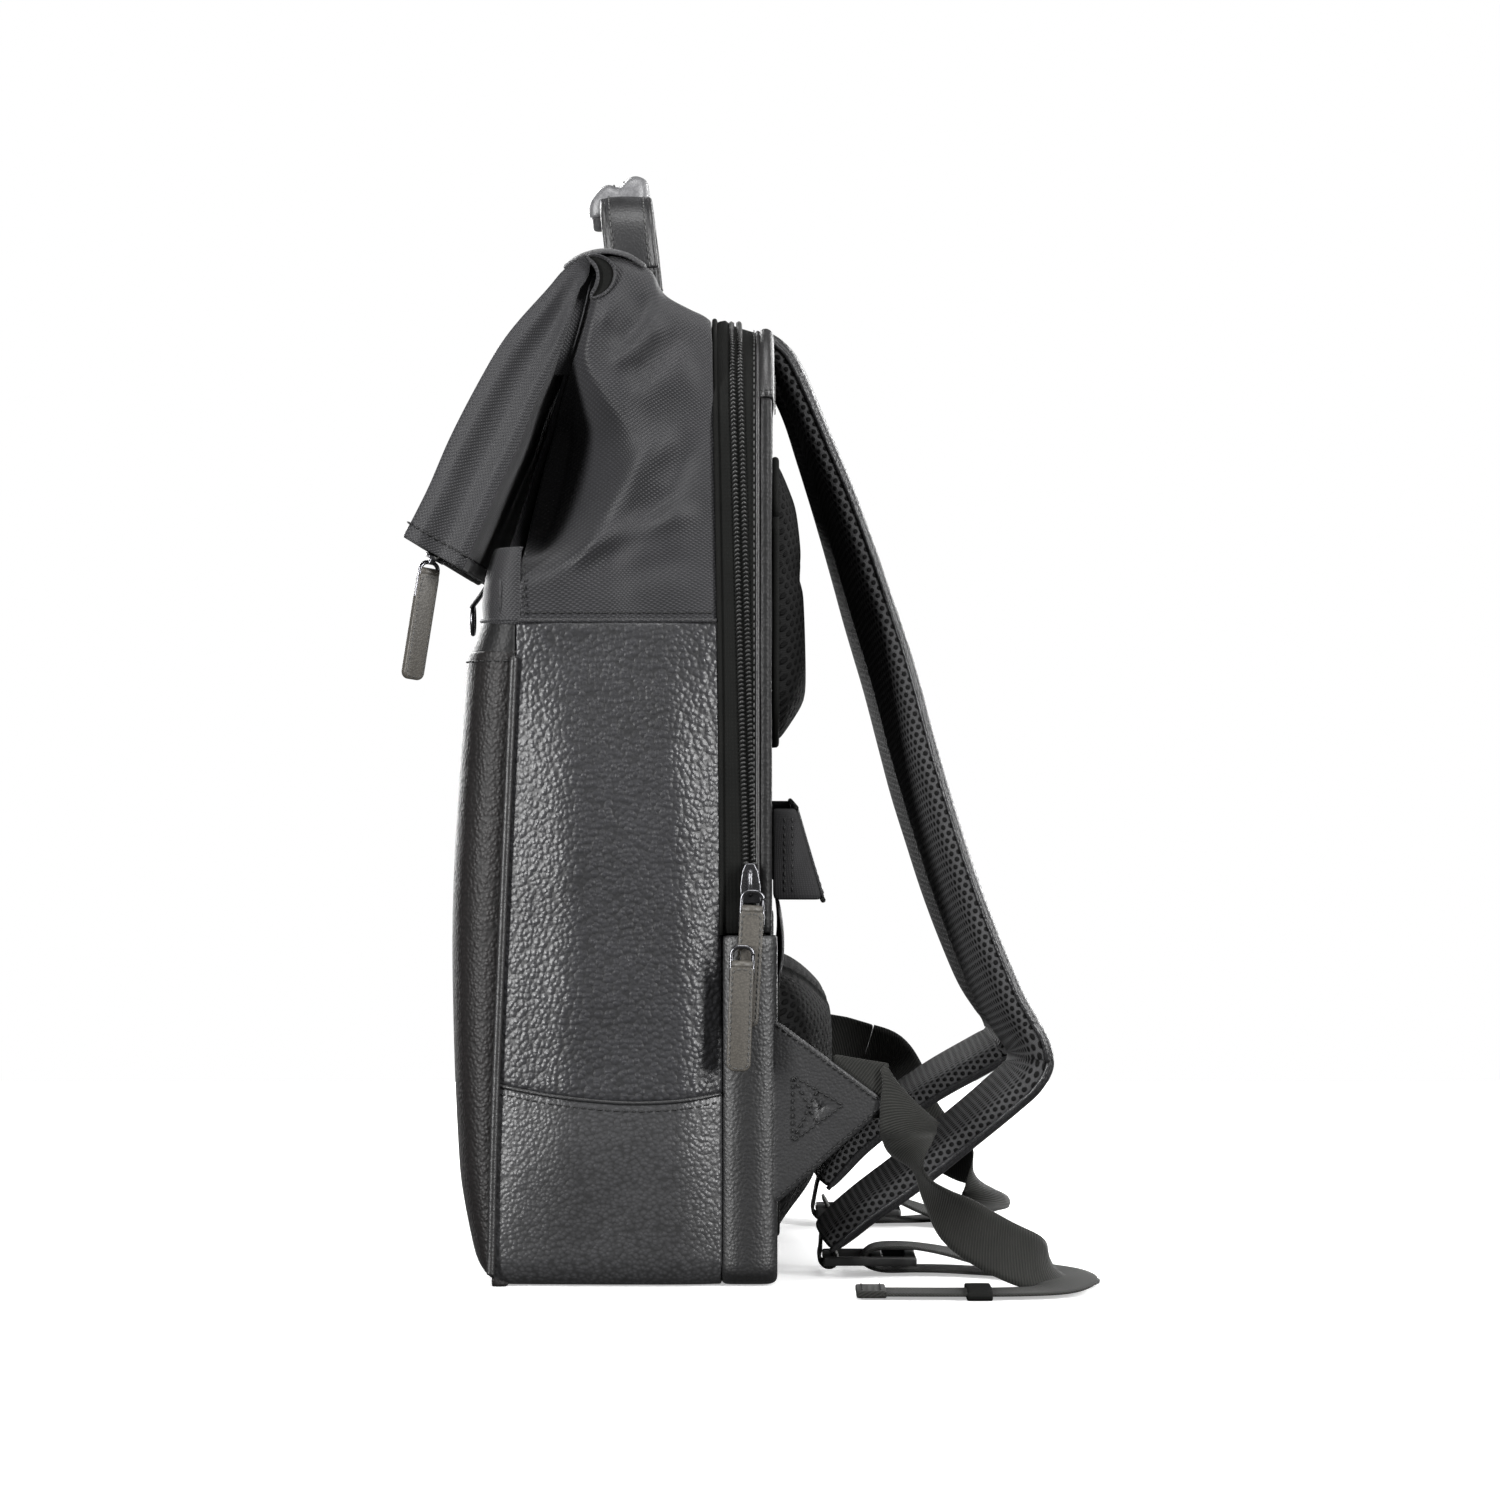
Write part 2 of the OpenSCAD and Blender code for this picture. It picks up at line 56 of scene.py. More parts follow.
SENSOR_MM, LENS_MM = 36.0, 100.9
CAMERA_AT = (2.0, 0.0572, 0.2363)

# name: where it stands, what it aims at, its width and height (all in metres), and its power in W
LIGHTS = {
    "key": ((1.85, 1.95, 0.95), (0.1, 0.05, 0.2), (0.5, 1.9), 102),
    "front_fill": ((1.65, -1.75, 0.7), (0.1, 0, 0.2), (0.4, 1.7), 84),
    "top": ((0.5, 0.1, 2.0), (0, 0, 0.3), (1.2, 1.2), 26),
    "far_side": ((-2.0, -0.9, 0.9), (0, 0, 0.25), (0.9, 1.6), 60),
    "far_back": ((-1.9, 1.2, 0.7), (0, 0.1, 0.25), (0.5, 1.6), 30),
    "back_rim": ((-1.0, 2.3, 1.1), (0, 0.1, 0.25), (0.9, 1.5), 34),
}
AMBIENT = 0.11
WHITE = (1, 1, 1, 1)
FLOOR_CORNERS = [(-1.0, -0.8, 0), (0.8, -0.8, 0), (0.8, 0.9, 0), (-1.0, 0.9, 0)]
FLOOR_DROP = 0.0004


def add_camera():
    """A long lens level with the bag, on the side the wearer's right arm passes."""
    data = bpy.data.cameras.new("camera")
    data.sensor_width = SENSOR_MM
    data.lens = LENS_MM
    camera = bpy.data.objects.new("camera", data)
    camera.location = CAMERA_AT
    camera.rotation_euler = (math.radians(90), 0, math.radians(90))
    bpy.context.scene.collection.objects.link(camera)
    bpy.context.scene.camera = camera


def add_area_light(name, location, target, size, power):
    data = bpy.data.lights.new(name, "AREA")
    data.shape = "RECTANGLE"
    data.size, data.size_y = size
    data.energy = power
    light = bpy.data.objects.new(name, data)
    light.location = location
    aim = Vector(target) - Vector(location)
    light.rotation_euler = aim.to_track_quat("-Z", "Y").to_euler()
    bpy.context.scene.collection.objects.link(light)


def add_world():
    """A dim even light on the bag, in front of a backdrop that the camera sees as white."""
    world = bpy.data.worlds.new("studio")
    world.use_nodes = True
    nodes, links = world.node_tree.nodes, world.node_tree.links
    ambient = nodes["Background"]
    ambient.inputs["Color"].default_value = WHITE
    ambient.inputs["Strength"].default_value = AMBIENT
    backdrop = nodes.new("ShaderNodeBackground")
    backdrop.inputs["Color"].default_value = WHITE
    backdrop.inputs["Strength"].default_value = 1.0
    choice = nodes.new("ShaderNodeMixShader")
    rays = nodes.new("ShaderNodeLightPath")
    links.new(rays.outputs["Is Camera Ray"], choice.inputs["Fac"])
    links.new(ambient.outputs["Background"], choice.inputs[1])
    links.new(backdrop.outputs["Background"], choice.inputs[2])
    links.new(choice.outputs["Shader"], nodes["World Output"].inputs["Surface"])
    bpy.context.scene.world = world
    bpy.context.scene.view_settings.view_transform = "Standard"


def add_floor():
    """A near-white floor that shows shadows but doesn't light the bag or show in its sheen."""
    mesh = bpy.data.meshes.new("floor")
    mesh.from_pydata(FLOOR_CORNERS, [], [(0, 1, 2, 3)])
    floor = bpy.data.objects.new("floor", mesh)
    floor.location.z = -FLOOR_DROP
    bpy.context.scene.collection.objects.link(floor)
    floor.visible_diffuse = False
    floor.visible_glossy = False
    paint = bpy.data.materials.new("floor_paint")
    paint.use_nodes = True
    shader = paint.node_tree.nodes["Principled BSDF"]
    shader.inputs["Base Color"].default_value = (0.9, 0.9, 0.9, 1)
    shader.inputs["Roughness"].default_value = 0.9
    shader.inputs["Specular IOR Level"].default_value = 0.0
    shader.inputs["Emission Color"].default_value = WHITE
    shader.inputs["Emission Strength"].default_value = 0.4
    mesh.materials.append(paint)


def add_studio():
    for name, values in LIGHTS.items():
        add_area_light(name, *values)
    add_world()
    add_floor()


# ---------------------------------------------------------------- curves and meshes

def blend_point(a, b, c, d, t):
    return 0.5 * (2 * b + (c - a) * t + (2 * a - 5 * b + 4 * c - d) * t * t
                  + (3 * b - a - 3 * c + d) * t ** 3)


def circle(count):
    """count angles evenly round a full turn."""
    return [2 * math.pi * k / count for k in range(count)]


def smooth(points, steps):
    """A Catmull-Rom curve through points, with steps samples on each span."""
    points = [Vector(p) for p in points]
    last = len(points) - 1
    out = []
    for i in range(last):
        a, b, c, d = (points[min(max(k, 0), last)] for k in (i - 1, i, i + 1, i + 2))
        out += [blend_point(a, b, c, d, s / steps) for s in range(steps)]
    return out + [points[last]]


def lengths_along(points):
    """The length of a polyline up to each of its points."""
    lengths = [0.0]
    for a, b in zip(points, points[1:]):
        lengths.append(lengths[-1] + (Vector(b) - Vector(a)).length)
    return lengths


def resample(points, count):
    """count points evenly spaced along a polyline."""
    points = [Vector(p) for p in points]
    lengths = lengths_along(points)
    out, k = [], 0
    for i in range(count):
        want = lengths[-1] * i / (count - 1)
        while k < len(points) - 2 and lengths[k + 1] < want:
            k += 1
        span = max(lengths[k + 1] - lengths[k], 1e-9)
        out.append(points[k].lerp(points[k + 1], min(max((want - lengths[k]) / span, 0), 1)))
    return out


def path_length(points):
    return sum((Vector(b) - Vector(a)).length for a, b in zip(points, points[1:]))


def table(pairs):
    """A smooth function through (input, value) pairs, held flat past both ends."""
    curve = smooth([(x, v, 0) for x, v in pairs], 10)

    def value(x):
        if x <= curve[0].x:
            return curve[0].y
        for a, b in zip(curve, curve[1:]):
            if x <= b.x:
                share = (x - a.x) / max(b.x - a.x, 1e-9)
                return a.y + (b.y - a.y) * share
        return curve[-1].y
    return value


def ramp(x, low, high):
    """Smoothstep from 0 at low to 1 at high."""
    t = min(max((x - low) / (high - low), 0), 1)
    return t * t * (3 - 2 * t)


def mix(a, b, t):
    return a + (b - a) * t


def wobble(x, y, z, size, seed=0.0):
    """Gentle noise from -1 to 1 with features about size mm across."""
    return noise.noise(Vector((x / size + seed, y / size - seed, z / size + 2 * seed)))


def mesh_object(name, points, faces, material, uvs=None):
    mesh = bpy.data.meshes.new(name)
    mesh.from_pydata([(p[0] * MM, p[1] * MM, p[2] * MM) for p in points], [], faces)
    mesh.materials.append(material)
    if uvs:
        layer = mesh.uv_layers.new(name="UVMap")
        for loop in mesh.loops:
            u, v = uvs[loop.vertex_index]
            layer.data[loop.index].uv = (u * MM, v * MM)
    for polygon in mesh.polygons:
        polygon.use_smooth = True
    mesh.update()
    obj = bpy.data.objects.new(name, mesh)
    bpy.context.scene.collection.objects.link(obj)
    return obj


def add_modifier(obj, kind, **values):
    modifier = obj.modifiers.new(kind.lower(), kind)
    for key, value in values.items():
        setattr(modifier, key, value)


def grid(name, rows, material, thickness=0, subdivide=1, closed=False, caps=False, offset=-1):
    """A mesh over rows of points. Its UVs are lengths along the middle row and column."""
    height, width = len(rows), len(rows[0])
    points = [p for row in rows for p in row]
    middle = rows[height // 2]
    u_at = lengths_along(middle)
    v_at = lengths_along([row[width // 2] for row in rows])
    uvs = [(u_at[i], v_at[j]) for j in range(height) for i in range(width)]
    faces = []
    for j in range(height - 1):
        for i in range(width if closed else width - 1):
            k = (i + 1) % width
            faces.append((j * width + i, j * width + k, (j + 1) * width + k, (j + 1) * width + i))
    if caps:
        faces.append(tuple(reversed(range(width))))
        faces.append(tuple((height - 1) * width + i for i in range(width)))
    obj = mesh_object(name, points, faces, material, uvs)
    if thickness:
        add_modifier(obj, "SOLIDIFY", thickness=thickness * MM, offset=offset)
    if subdivide:
        add_modifier(obj, "SUBSURF", levels=subdivide, render_levels=subdivide)
    return obj


def frames_along(path, across=None):
    """(point, direction, side, up) along a path; across gives the side where it matters."""
    path = [Vector(p) for p in path]
    last = len(path) - 1
    out, side = [], None
    for i, point in enumerate(path):
        direction = (path[min(i + 1, last)] - path[max(i - 1, 0)]).normalized()
        if across:
            side = Vector(across[i])
        elif side is None:
            side = direction.orthogonal()
        side = (side - direction * side.dot(direction)).normalized()
        out.append((point, direction, side, side.cross(direction)))
    return out


def tube(name, path, radius, material, sides=10, subdivide=0):
    """A round cord; radius may be a number or one number for each point."""
    rows = []
    for i, (point, _, side, up) in enumerate(frames_along(path)):
        r = radius[i] if isinstance(radius, (list, tuple)) else radius
        rows.append([point + (side * math.cos(a) + up * math.sin(a)) * r
                     for a in circle(sides)])
    return grid(name, rows, material, closed=True, caps=True, subdivide=subdivide)


def join(name, pieces):
    """Joins mesh objects into the first one, with their modifiers applied."""
    graph = bpy.context.evaluated_depsgraph_get()
    whole = bmesh.new()
    materials = []
    for piece in pieces:
        mesh = bpy.data.meshes.new_from_object(piece.evaluated_get(graph))
        mesh.transform(piece.matrix_world)
        for polygon in mesh.polygons:
            material = mesh.materials[polygon.material_index]
            if material not in materials:
                materials.append(material)
            polygon.material_index = materials.index(material)
        whole.from_mesh(mesh)
    data = bpy.data.meshes.new(name)
    whole.to_mesh(data)
    for material in materials:
        data.materials.append(material)
    for piece in pieces:
        bpy.data.objects.remove(piece)
    obj = bpy.data.objects.new(name, data)
    bpy.context.scene.collection.objects.link(obj)
    return obj


def boxes(name, specs, material, bevel):
    """Rounded blocks from (low corner, high corner) pairs, as one object."""
    points, faces = [], []
    for low, high in specs:
        base = len(points)
        points += [(x, y, z) for x in (low[0], high[0]) for y in (low[1], high[1])
                   for z in (low[2], high[2])]
        faces += [tuple(base + k for k in face) for face in (
            (0, 1, 3, 2), (4, 6, 7, 5), (0, 4, 5, 1), (2, 3, 7, 6), (0, 2, 6, 4), (1, 5, 7, 3))]
    obj = mesh_object(name, points, faces, material, [(p[1], p[2]) for p in points])
    add_modifier(obj, "BEVEL", width=bevel * MM, segments=3, limit_method="ANGLE")
    return obj


BEAD_SIDES = 6


def add_bead(points, faces, centres, sizes, side, up, flip=False):
    """Adds a small closed tube through four ring centres to points and faces."""
    base = len(points)
    for middle, size in zip(centres, sizes):
        points += [middle + (side * math.cos(a) + up * math.sin(a)) * size
                   for a in circle(BEAD_SIDES)]
    for ring in range(len(centres) - 1):
        for k in range(BEAD_SIDES):
            a = base + ring * BEAD_SIDES + k
            b = base + ring * BEAD_SIDES + (k + 1) % BEAD_SIDES
            wall = (a, b, b + BEAD_SIDES, a + BEAD_SIDES)
            faces.append((b, a, a + BEAD_SIDES, b + BEAD_SIDES) if flip else wall)
    first = tuple(base + k for k in range(BEAD_SIDES))
    last = tuple(len(points) - BEAD_SIDES + k for k in range(BEAD_SIDES))
    faces += [first, last[::-1]] if flip else [first[::-1], last]


def stitches(name, line, normals, material, pitch=4.0, length=2.9, radius=0.42, lift=0.25):
    """Thread stitches along a line: short rounded dashes lying on the surface."""
    count = max(int(path_length(line) / pitch), 1)
    spots = resample(line, count * 2 + 1)
    if len(normals) == 1:
        normals = normals * 2
    facing = resample(normals, count * 2 + 1)
    points, faces = [], []
    for i in range(count):
        centre = spots[2 * i + 1]
        along = (spots[2 * i + 2] - spots[2 * i]).normalized()
        up = facing[2 * i + 1].normalized()
        side = along.cross(up).normalized()
        tip, body = lift - 0.5 * radius, lift
        centres = [centre + along * length * share + up * rise
                   for share, rise in ((-0.5, tip), (-0.3, body), (0.3, body), (0.5, tip))]
        sizes = [radius * size for size in (0.35, 0.95, 0.95, 0.35)]
        add_bead(points, faces, centres, sizes, side, up)
    return mesh_object(name, points, faces, material)


def sew(name, rows, body="bag"):
    """Joins rows of stitches into one piece that rides on body."""
    place(join(name, rows), body, "webbing")


SIDES = ((1, "right"), (-1, "left"))


def place(obj, body, slot, *nodes):
    """Rides obj on a body and hides the CAD nodes it stands for; its slot is not used."""
    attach(obj, body)
    if nodes:
        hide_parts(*nodes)


# ---------------------------------------------------------------- materials

GRAIN_WARP = 0.48


class Paint:
    """A small helper that wires one procedural material."""

    def __init__(self, name, roughness=0.5, **sockets):
        self.material = bpy.data.materials.new(name)
        self.material.use_nodes = True
        self.tree = self.material.node_tree
        self.shader = self.tree.nodes["Principled BSDF"]
        self.shader.inputs["Roughness"].default_value = roughness
        for label, value in sockets.items():
            self.shader.inputs[label.replace("_", " ")].default_value = value
        self.coords = self.node("ShaderNodeTexCoord")

    def node(self, kind, **settings):
        made = self.tree.nodes.new(kind)
        for key, value in settings.items():
            setattr(made, key, value)
        return made

    def link(self, source, target):
        self.tree.links.new(source, target)

    def math(self, operation, a, b=None, clamp=False):
        made = self.node("ShaderNodeMath", operation=operation, use_clamp=clamp)
        for socket, value in zip(made.inputs, (a, b)):
            if value is None:
                continue
            if isinstance(value, (int, float)):
                socket.default_value = value
            else:
                self.link(value, socket)
        return made.outputs[0]

    def mapping(self, source):
        made = self.node("ShaderNodeMapping")
        self.link(self.coords.outputs[source], made.inputs["Vector"])
        return made

    def noise(self, size_mm, detail=3.0, roughness=0.5, stretch=(1, 1, 1)):
        mapping = self.mapping("Object")
        mapping.inputs["Scale"].default_value = [s / (size_mm * MM) for s in stretch]
        made = self.node("ShaderNodeTexNoise")
        made.inputs["Scale"].default_value = 1.0
        made.inputs["Detail"].default_value = detail
        made.inputs["Roughness"].default_value = roughness
        self.link(mapping.outputs["Vector"], made.inputs["Vector"])
        return made.outputs["Fac"]

    def pebbles(self, size_mm):
        """Leather grain: 0 in the creases and 1 on top of each pebble."""
        mapping = self.mapping("Object")
        mapping.inputs["Scale"].default_value = [1 / (size_mm * MM)] * 3
        bend = self.node("ShaderNodeTexNoise")
        bend.inputs["Scale"].default_value = 0.8
        bend.inputs["Detail"].default_value = 2.0
        self.link(mapping.outputs["Vector"], bend.inputs["Vector"])
        shift = self.node("ShaderNodeVectorMath", operation="MULTIPLY_ADD")
        self.link(bend.outputs["Color"], shift.inputs[0])
        shift.inputs[1].default_value = [GRAIN_WARP] * 3
        self.link(mapping.outputs["Vector"], shift.inputs[2])
        cells = self.node("ShaderNodeTexVoronoi", feature="SMOOTH_F1")
        cells.inputs["Scale"].default_value = 1.0
        cells.inputs["Smoothness"].default_value = 0.35
        self.link(shift.outputs["Vector"], cells.inputs["Vector"])
        depth = self.math("MULTIPLY", cells.outputs["Distance"], 1.25)
        return self.math("SUBTRACT", 1.0, depth, True)

    def wave(self, size_mm, angle_deg):
        """Parallel ridges size_mm apart, turned by angle_deg in the texture plane."""
        mapping = self.mapping("UV")
        mapping.inputs["Rotation"].default_value = (0, 0, math.radians(angle_deg))
        made = self.node("ShaderNodeTexWave")
        made.inputs["Scale"].default_value = 2 * math.pi / (20 * size_mm * MM)
        self.link(mapping.outputs["Vector"], made.inputs["Vector"])
        return made.outputs["Fac"]

    def holes(self, pitch_mm, radius_mm, soft_mm=0.35):
        """A honeycomb of round holes: 0 inside a hole and 1 on the web between."""
        split = self.node("ShaderNodeSeparateXYZ")
        self.link(self.coords.outputs["UV"], split.inputs[0])
        wide, tall = pitch_mm * MM, pitch_mm * MM * math.sqrt(3)
        distances = []
        for shift in (0.0, 0.5):
            squares = []
            for socket, period in ((split.outputs[0], wide), (split.outputs[1], tall)):
                cell = self.math("ADD", self.math("DIVIDE", socket, period), shift)
                local = self.math("SUBTRACT", self.math("FRACT", cell), 0.5)
                squares.append(self.math("POWER", self.math("MULTIPLY", local, period / MM), 2.0))
            distances.append(self.math("SQRT", self.math("ADD", *squares)))
        nearest = self.math("MINIMUM", *distances)
        span = self.node("ShaderNodeMapRange", interpolation_type="SMOOTHSTEP")
        span.inputs["From Min"].default_value = radius_mm - soft_mm
        span.inputs["From Max"].default_value = radius_mm + soft_mm
        self.link(nearest, span.inputs["Value"])
        return span.outputs["Result"]

    def sum(self, a, share_a, b, share_b):
        """Two textures added in shares."""
        scaled_a = self.math("MULTIPLY", a, share_a)
        return self.math("ADD", scaled_a, self.math("MULTIPLY", b, share_b))

    def scaled(self, value, low, high):
        """Maps 0..1 to low..high."""
        return self.math("ADD", self.math("MULTIPLY", value, high - low), low)

    def colour(self, value, stops):
        """A colour ramp from (position, linear colour) stops, on the base colour."""
        made = self.node("ShaderNodeValToRGB")
        elements = made.color_ramp.elements
        while len(elements) < len(stops):
            elements.new(0.5)
        for element, (position, shade) in zip(elements, stops):
            element.position = position
            element.color = (*shade, 1)
        self.link(value, made.inputs["Fac"])
        self.link(made.outputs["Color"], self.shader.inputs["Base Color"])

    def roughness(self, value, low, high):
        self.link(self.scaled(value, low, high), self.shader.inputs["Roughness"])

    def bump(self, height, depth_mm, strength=1.0):
        """Adds a bump layer over the ones already made."""
        made = self.node("ShaderNodeBump")
        made.inputs["Strength"].default_value = strength
        made.inputs["Distance"].default_value = depth_mm * MM
        self.link(height, made.inputs["Height"])
        socket = self.shader.inputs["Normal"]
        if socket.is_linked:
            self.link(socket.links[0].from_socket, made.inputs["Normal"])
        self.link(made.outputs["Normal"], socket)


def leather(name, dark, light, grain_mm, depth_mm, rough, shine=0.55):
    paint = Paint(name, Specular_IOR_Level=shine)
    grain = paint.pebbles(grain_mm)
    fine = paint.noise(0.5, 2.0)
    cloud = paint.noise(38, 3.0)
    tone = paint.sum(grain, 0.65, cloud, 0.5)
    paint.colour(tone, [(0.25, dark), (0.9, light)])
    worn = paint.sum(grain, 0.7, cloud, 0.3)
    paint.roughness(worn, rough[1], rough[0])
    paint.bump(cloud, 0.5, 0.5)
    paint.bump(grain, depth_mm)
    paint.bump(fine, 0.04, 0.6)
    return paint.material


def coated_fabric(name, dark, light):
    """Twill under a dull coating, softly creased."""
    paint = Paint(name, Specular_IOR_Level=0.34)
    paint.shader.inputs["Sheen Weight"].default_value = 0.12
    paint.shader.inputs["Sheen Roughness"].default_value = 0.5
    twill = paint.wave(1.35, 38)
    cross = paint.wave(1.35 * 0.9, -52)
    weave = paint.math("MULTIPLY", twill, cross)
    cloud = paint.noise(30, 4.0)
    speck = paint.noise(1.2, 2.0)
    tone = paint.sum(cloud, 0.5, weave, 0.5)
    paint.colour(tone, [(0.15, dark), (0.75, light)])
    paint.roughness(cloud, 0.46, 0.62)
    paint.bump(paint.noise(16, 3.0, 0.6), 0.35, 0.45)
    paint.bump(weave, 0.2, 1.0)
    paint.bump(speck, 0.05, 0.6)
    return paint.material


def ribbed_webbing(name, dark, light):
    """Twill tape: diagonal ribs crossed by fine threads."""
    paint = Paint(name, 0.7, Specular_IOR_Level=0.2)
    paint.shader.inputs["Sheen Weight"].default_value = 0.06
    ribs = paint.wave(1.3, 62)
    threads = paint.wave(0.6, 0)
    body = paint.math("MULTIPLY", ribs, paint.scaled(threads, 0.6, 1.0))
    cloud = paint.noise(9, 3.0)
    tone = paint.sum(body, 0.6, cloud, 0.4)
    paint.colour(tone, [(0.1, dark), (0.9, light)])
    paint.bump(body, 0.28, 0.9)
    return paint.material


def air_mesh(name, web, hole, pitch_mm=4.2, hole_mm=1.25):
    """Spacer mesh: a knitted web over a honeycomb of holes, their near-black colour painted shade
    down in each hole.
    """
    paint = Paint(name, 0.75, Specular_IOR_Level=0.12)
    cells = paint.holes(pitch_mm, hole_mm)
    knit = paint.wave(0.55, 45)
    cloud = paint.noise(14, 3.0)
    yarn = paint.scaled(paint.math("MULTIPLY", knit, cloud), 0.55, 1.25)
    tone = paint.math("MULTIPLY", cells, yarn)
    # the near-black hole colour is painted shade down in each hole
    paint.colour(tone, [(0.05, hole), (0.9, web)])
    paint.bump(cells, 0.9)
    paint.bump(knit, 0.12, 0.6)
    return paint.material


def woven(name, dark, light, pitch_mm=0.7, rough=0.72):
    paint = Paint(name, rough, Specular_IOR_Level=0.12)
    weave = paint.math("MULTIPLY", paint.wave(pitch_mm, 0), paint.wave(pitch_mm, 90))
    cloud = paint.noise(12, 3.0)
    tone = paint.sum(weave, 0.5, cloud, 0.5)
    paint.colour(tone, [(0.1, dark), (0.9, light)])
    paint.bump(weave, 0.12, 0.8)
    return paint.material


def metal(name, tint):
    paint = Paint(name, Metallic=1.0)
    cloud = paint.noise(5, 4.0)
    scuff = paint.noise(0.7, 3.0, 0.6, stretch=(1, 6, 1))
    paint.colour(cloud, [(0.2, [c * 0.7 for c in tint]), (0.8, tint)])
    paint.roughness(scuff, 0.18, 0.36)
    paint.bump(scuff, 0.02, 0.5)
    return paint.material


def plastic(name, dark, light, rough=(0.3, 0.5)):
    paint = Paint(name, Specular_IOR_Level=0.5)
    cloud = paint.noise(6, 3.0)
    grain = paint.noise(0.35, 2.0)
    paint.colour(cloud, [(0.2, dark), (0.8, light)])
    paint.roughness(cloud, rough[0], rough[1])
    paint.bump(grain, 0.03, 0.5)
    return paint.material


def thread(name, dark, light):
    paint = Paint(name, 0.55, Specular_IOR_Level=0.4)
    twist = paint.noise(0.5, 2.0)
    paint.colour(twist, [(0.2, dark), (0.8, light)])
    paint.bump(twist, 0.08, 0.7)
    return paint.material


# each leather: its creases' and pebbles' colours, the grain's size and depth in mm, its roughness
PEBBLED = leather("pebbled_leather", (0.0105, 0.0105, 0.0114), (0.032, 0.032, 0.0352),
                  2.2, 0.38, (0.3, 0.46))
BOOT_LEATHER = leather("boot_leather", (0.016, 0.016, 0.0166), (0.046, 0.046, 0.0484),
                       1.8, 0.24, (0.3, 0.46))
FRONT_LEATHER = leather("front_leather", (0.0048, 0.0041, 0.0041), (0.013, 0.0112, 0.0112),
                        1.7, 0.26, (0.4, 0.58), shine=0.3)
REAR_LEATHER = leather("rear_leather", (0.0045, 0.0045, 0.0047), (0.012, 0.012, 0.0125),
                       1.5, 0.14, (0.42, 0.6), shine=0.28)
BAND_LEATHER = leather("band_leather", (0.006, 0.006, 0.0063), (0.016, 0.016, 0.0168),
                       1.5, 0.14, (0.36, 0.54))
EDGE_LEATHER = leather("edge_leather", (0.0085, 0.0083, 0.0085), (0.022, 0.0213, 0.022),
                       0.9, 0.1, (0.32, 0.48))
STRAP_LEATHER = leather("strap_leather", (0.008, 0.008, 0.0085), (0.024, 0.024, 0.0255),
                        1.3, 0.2, (0.28, 0.46))
TAB_LEATHER = leather("tab_leather", (0.007, 0.007, 0.0075), (0.019, 0.019, 0.02),
                      1.3, 0.13, (0.42, 0.58))
PULLER_LEATHER = leather("puller_leather", (0.042, 0.038, 0.032), (0.082, 0.075, 0.064),
                         0.9, 0.06, (0.42, 0.56))
HANDLE_LEATHER = leather("handle_leather", (0.005, 0.005, 0.0055), (0.014, 0.014, 0.015),
                         1.1, 0.1, (0.36, 0.52))
WRAP_LEATHER = leather("wrap_leather", (0.1, 0.1, 0.104), (0.17, 0.17, 0.176),
                       0.9, 0.03, (0.34, 0.46))
FABRIC = coated_fabric("coated_fabric", (0.0085, 0.0085, 0.0096), (0.026, 0.0256, 0.0286))
BACK_FABRIC = woven("back_fabric", (0.012, 0.012, 0.0125), (0.03, 0.0295, 0.031), 0.9, 0.6)
LINING = woven("lining_fabric", (0.008, 0.009, 0.011), (0.022, 0.024, 0.028), 0.8, 0.6)
TAPE = woven("zip_tape", (0.0025, 0.0027, 0.0024), (0.008, 0.0083, 0.0075), 0.6)
COIL = plastic("zip_coil", (0.008, 0.008, 0.008), (0.03, 0.03, 0.029), (0.25, 0.42))
WEBBING = ribbed_webbing("webbing", (0.006, 0.0062, 0.0054), (0.022, 0.0222, 0.0196))
# each air mesh: its web colour, then its hole colour, which is painted shade inside the holes
MESH = air_mesh("air_mesh", (0.007, 0.007, 0.007), (0.0006, 0.0006, 0.0006))
STRAP_MESH = air_mesh("strap_mesh", (0.06, 0.06, 0.0615), (0.003, 0.003, 0.003), 3.6, 1.05)
GUNMETAL = metal("gunmetal", (0.16, 0.16, 0.17))
PLASTIC = plastic("lock_plastic", (0.006, 0.006, 0.006), (0.02, 0.02, 0.02))
THREAD = thread("black_thread", (0.004, 0.004, 0.004), (0.012, 0.012, 0.0125))
GREY_THREAD = thread("grey_thread", (0.03, 0.03, 0.03), (0.09, 0.09, 0.088))
BOARD = woven("stiff_board", (0.14, 0.13, 0.11), (0.24, 0.22, 0.2), 1.4, 0.8)


# ---------------------------------------------------------------- leather body

HALF_W = 150.0
WAIST_Z = 293.0
POCKET_Z = 280.0
FRONT_FLAT_X = 118.0

front_y = table([(0, -60), (3, -63), (16, -66.5), (38, -71), (56, -73), (100, -75), (150, -76),
                 (190, -75), (230, -72.5), (280, -69)])
piping_y = table([(0, -57), (14, -56), (89, -54), (278, -46)])
seam_y = table([(0, 44.5), (155, 44), (293, 43), (421, 40.5)])
boot_seam_z = table([(-56, 89), (-30, 84.5), (0, 81.5), (25, 82), (45, 85)])
base_inset = table([(0, 9), (1.5, 5.4), (3.5, 3), (7, 1), (12, 0)])


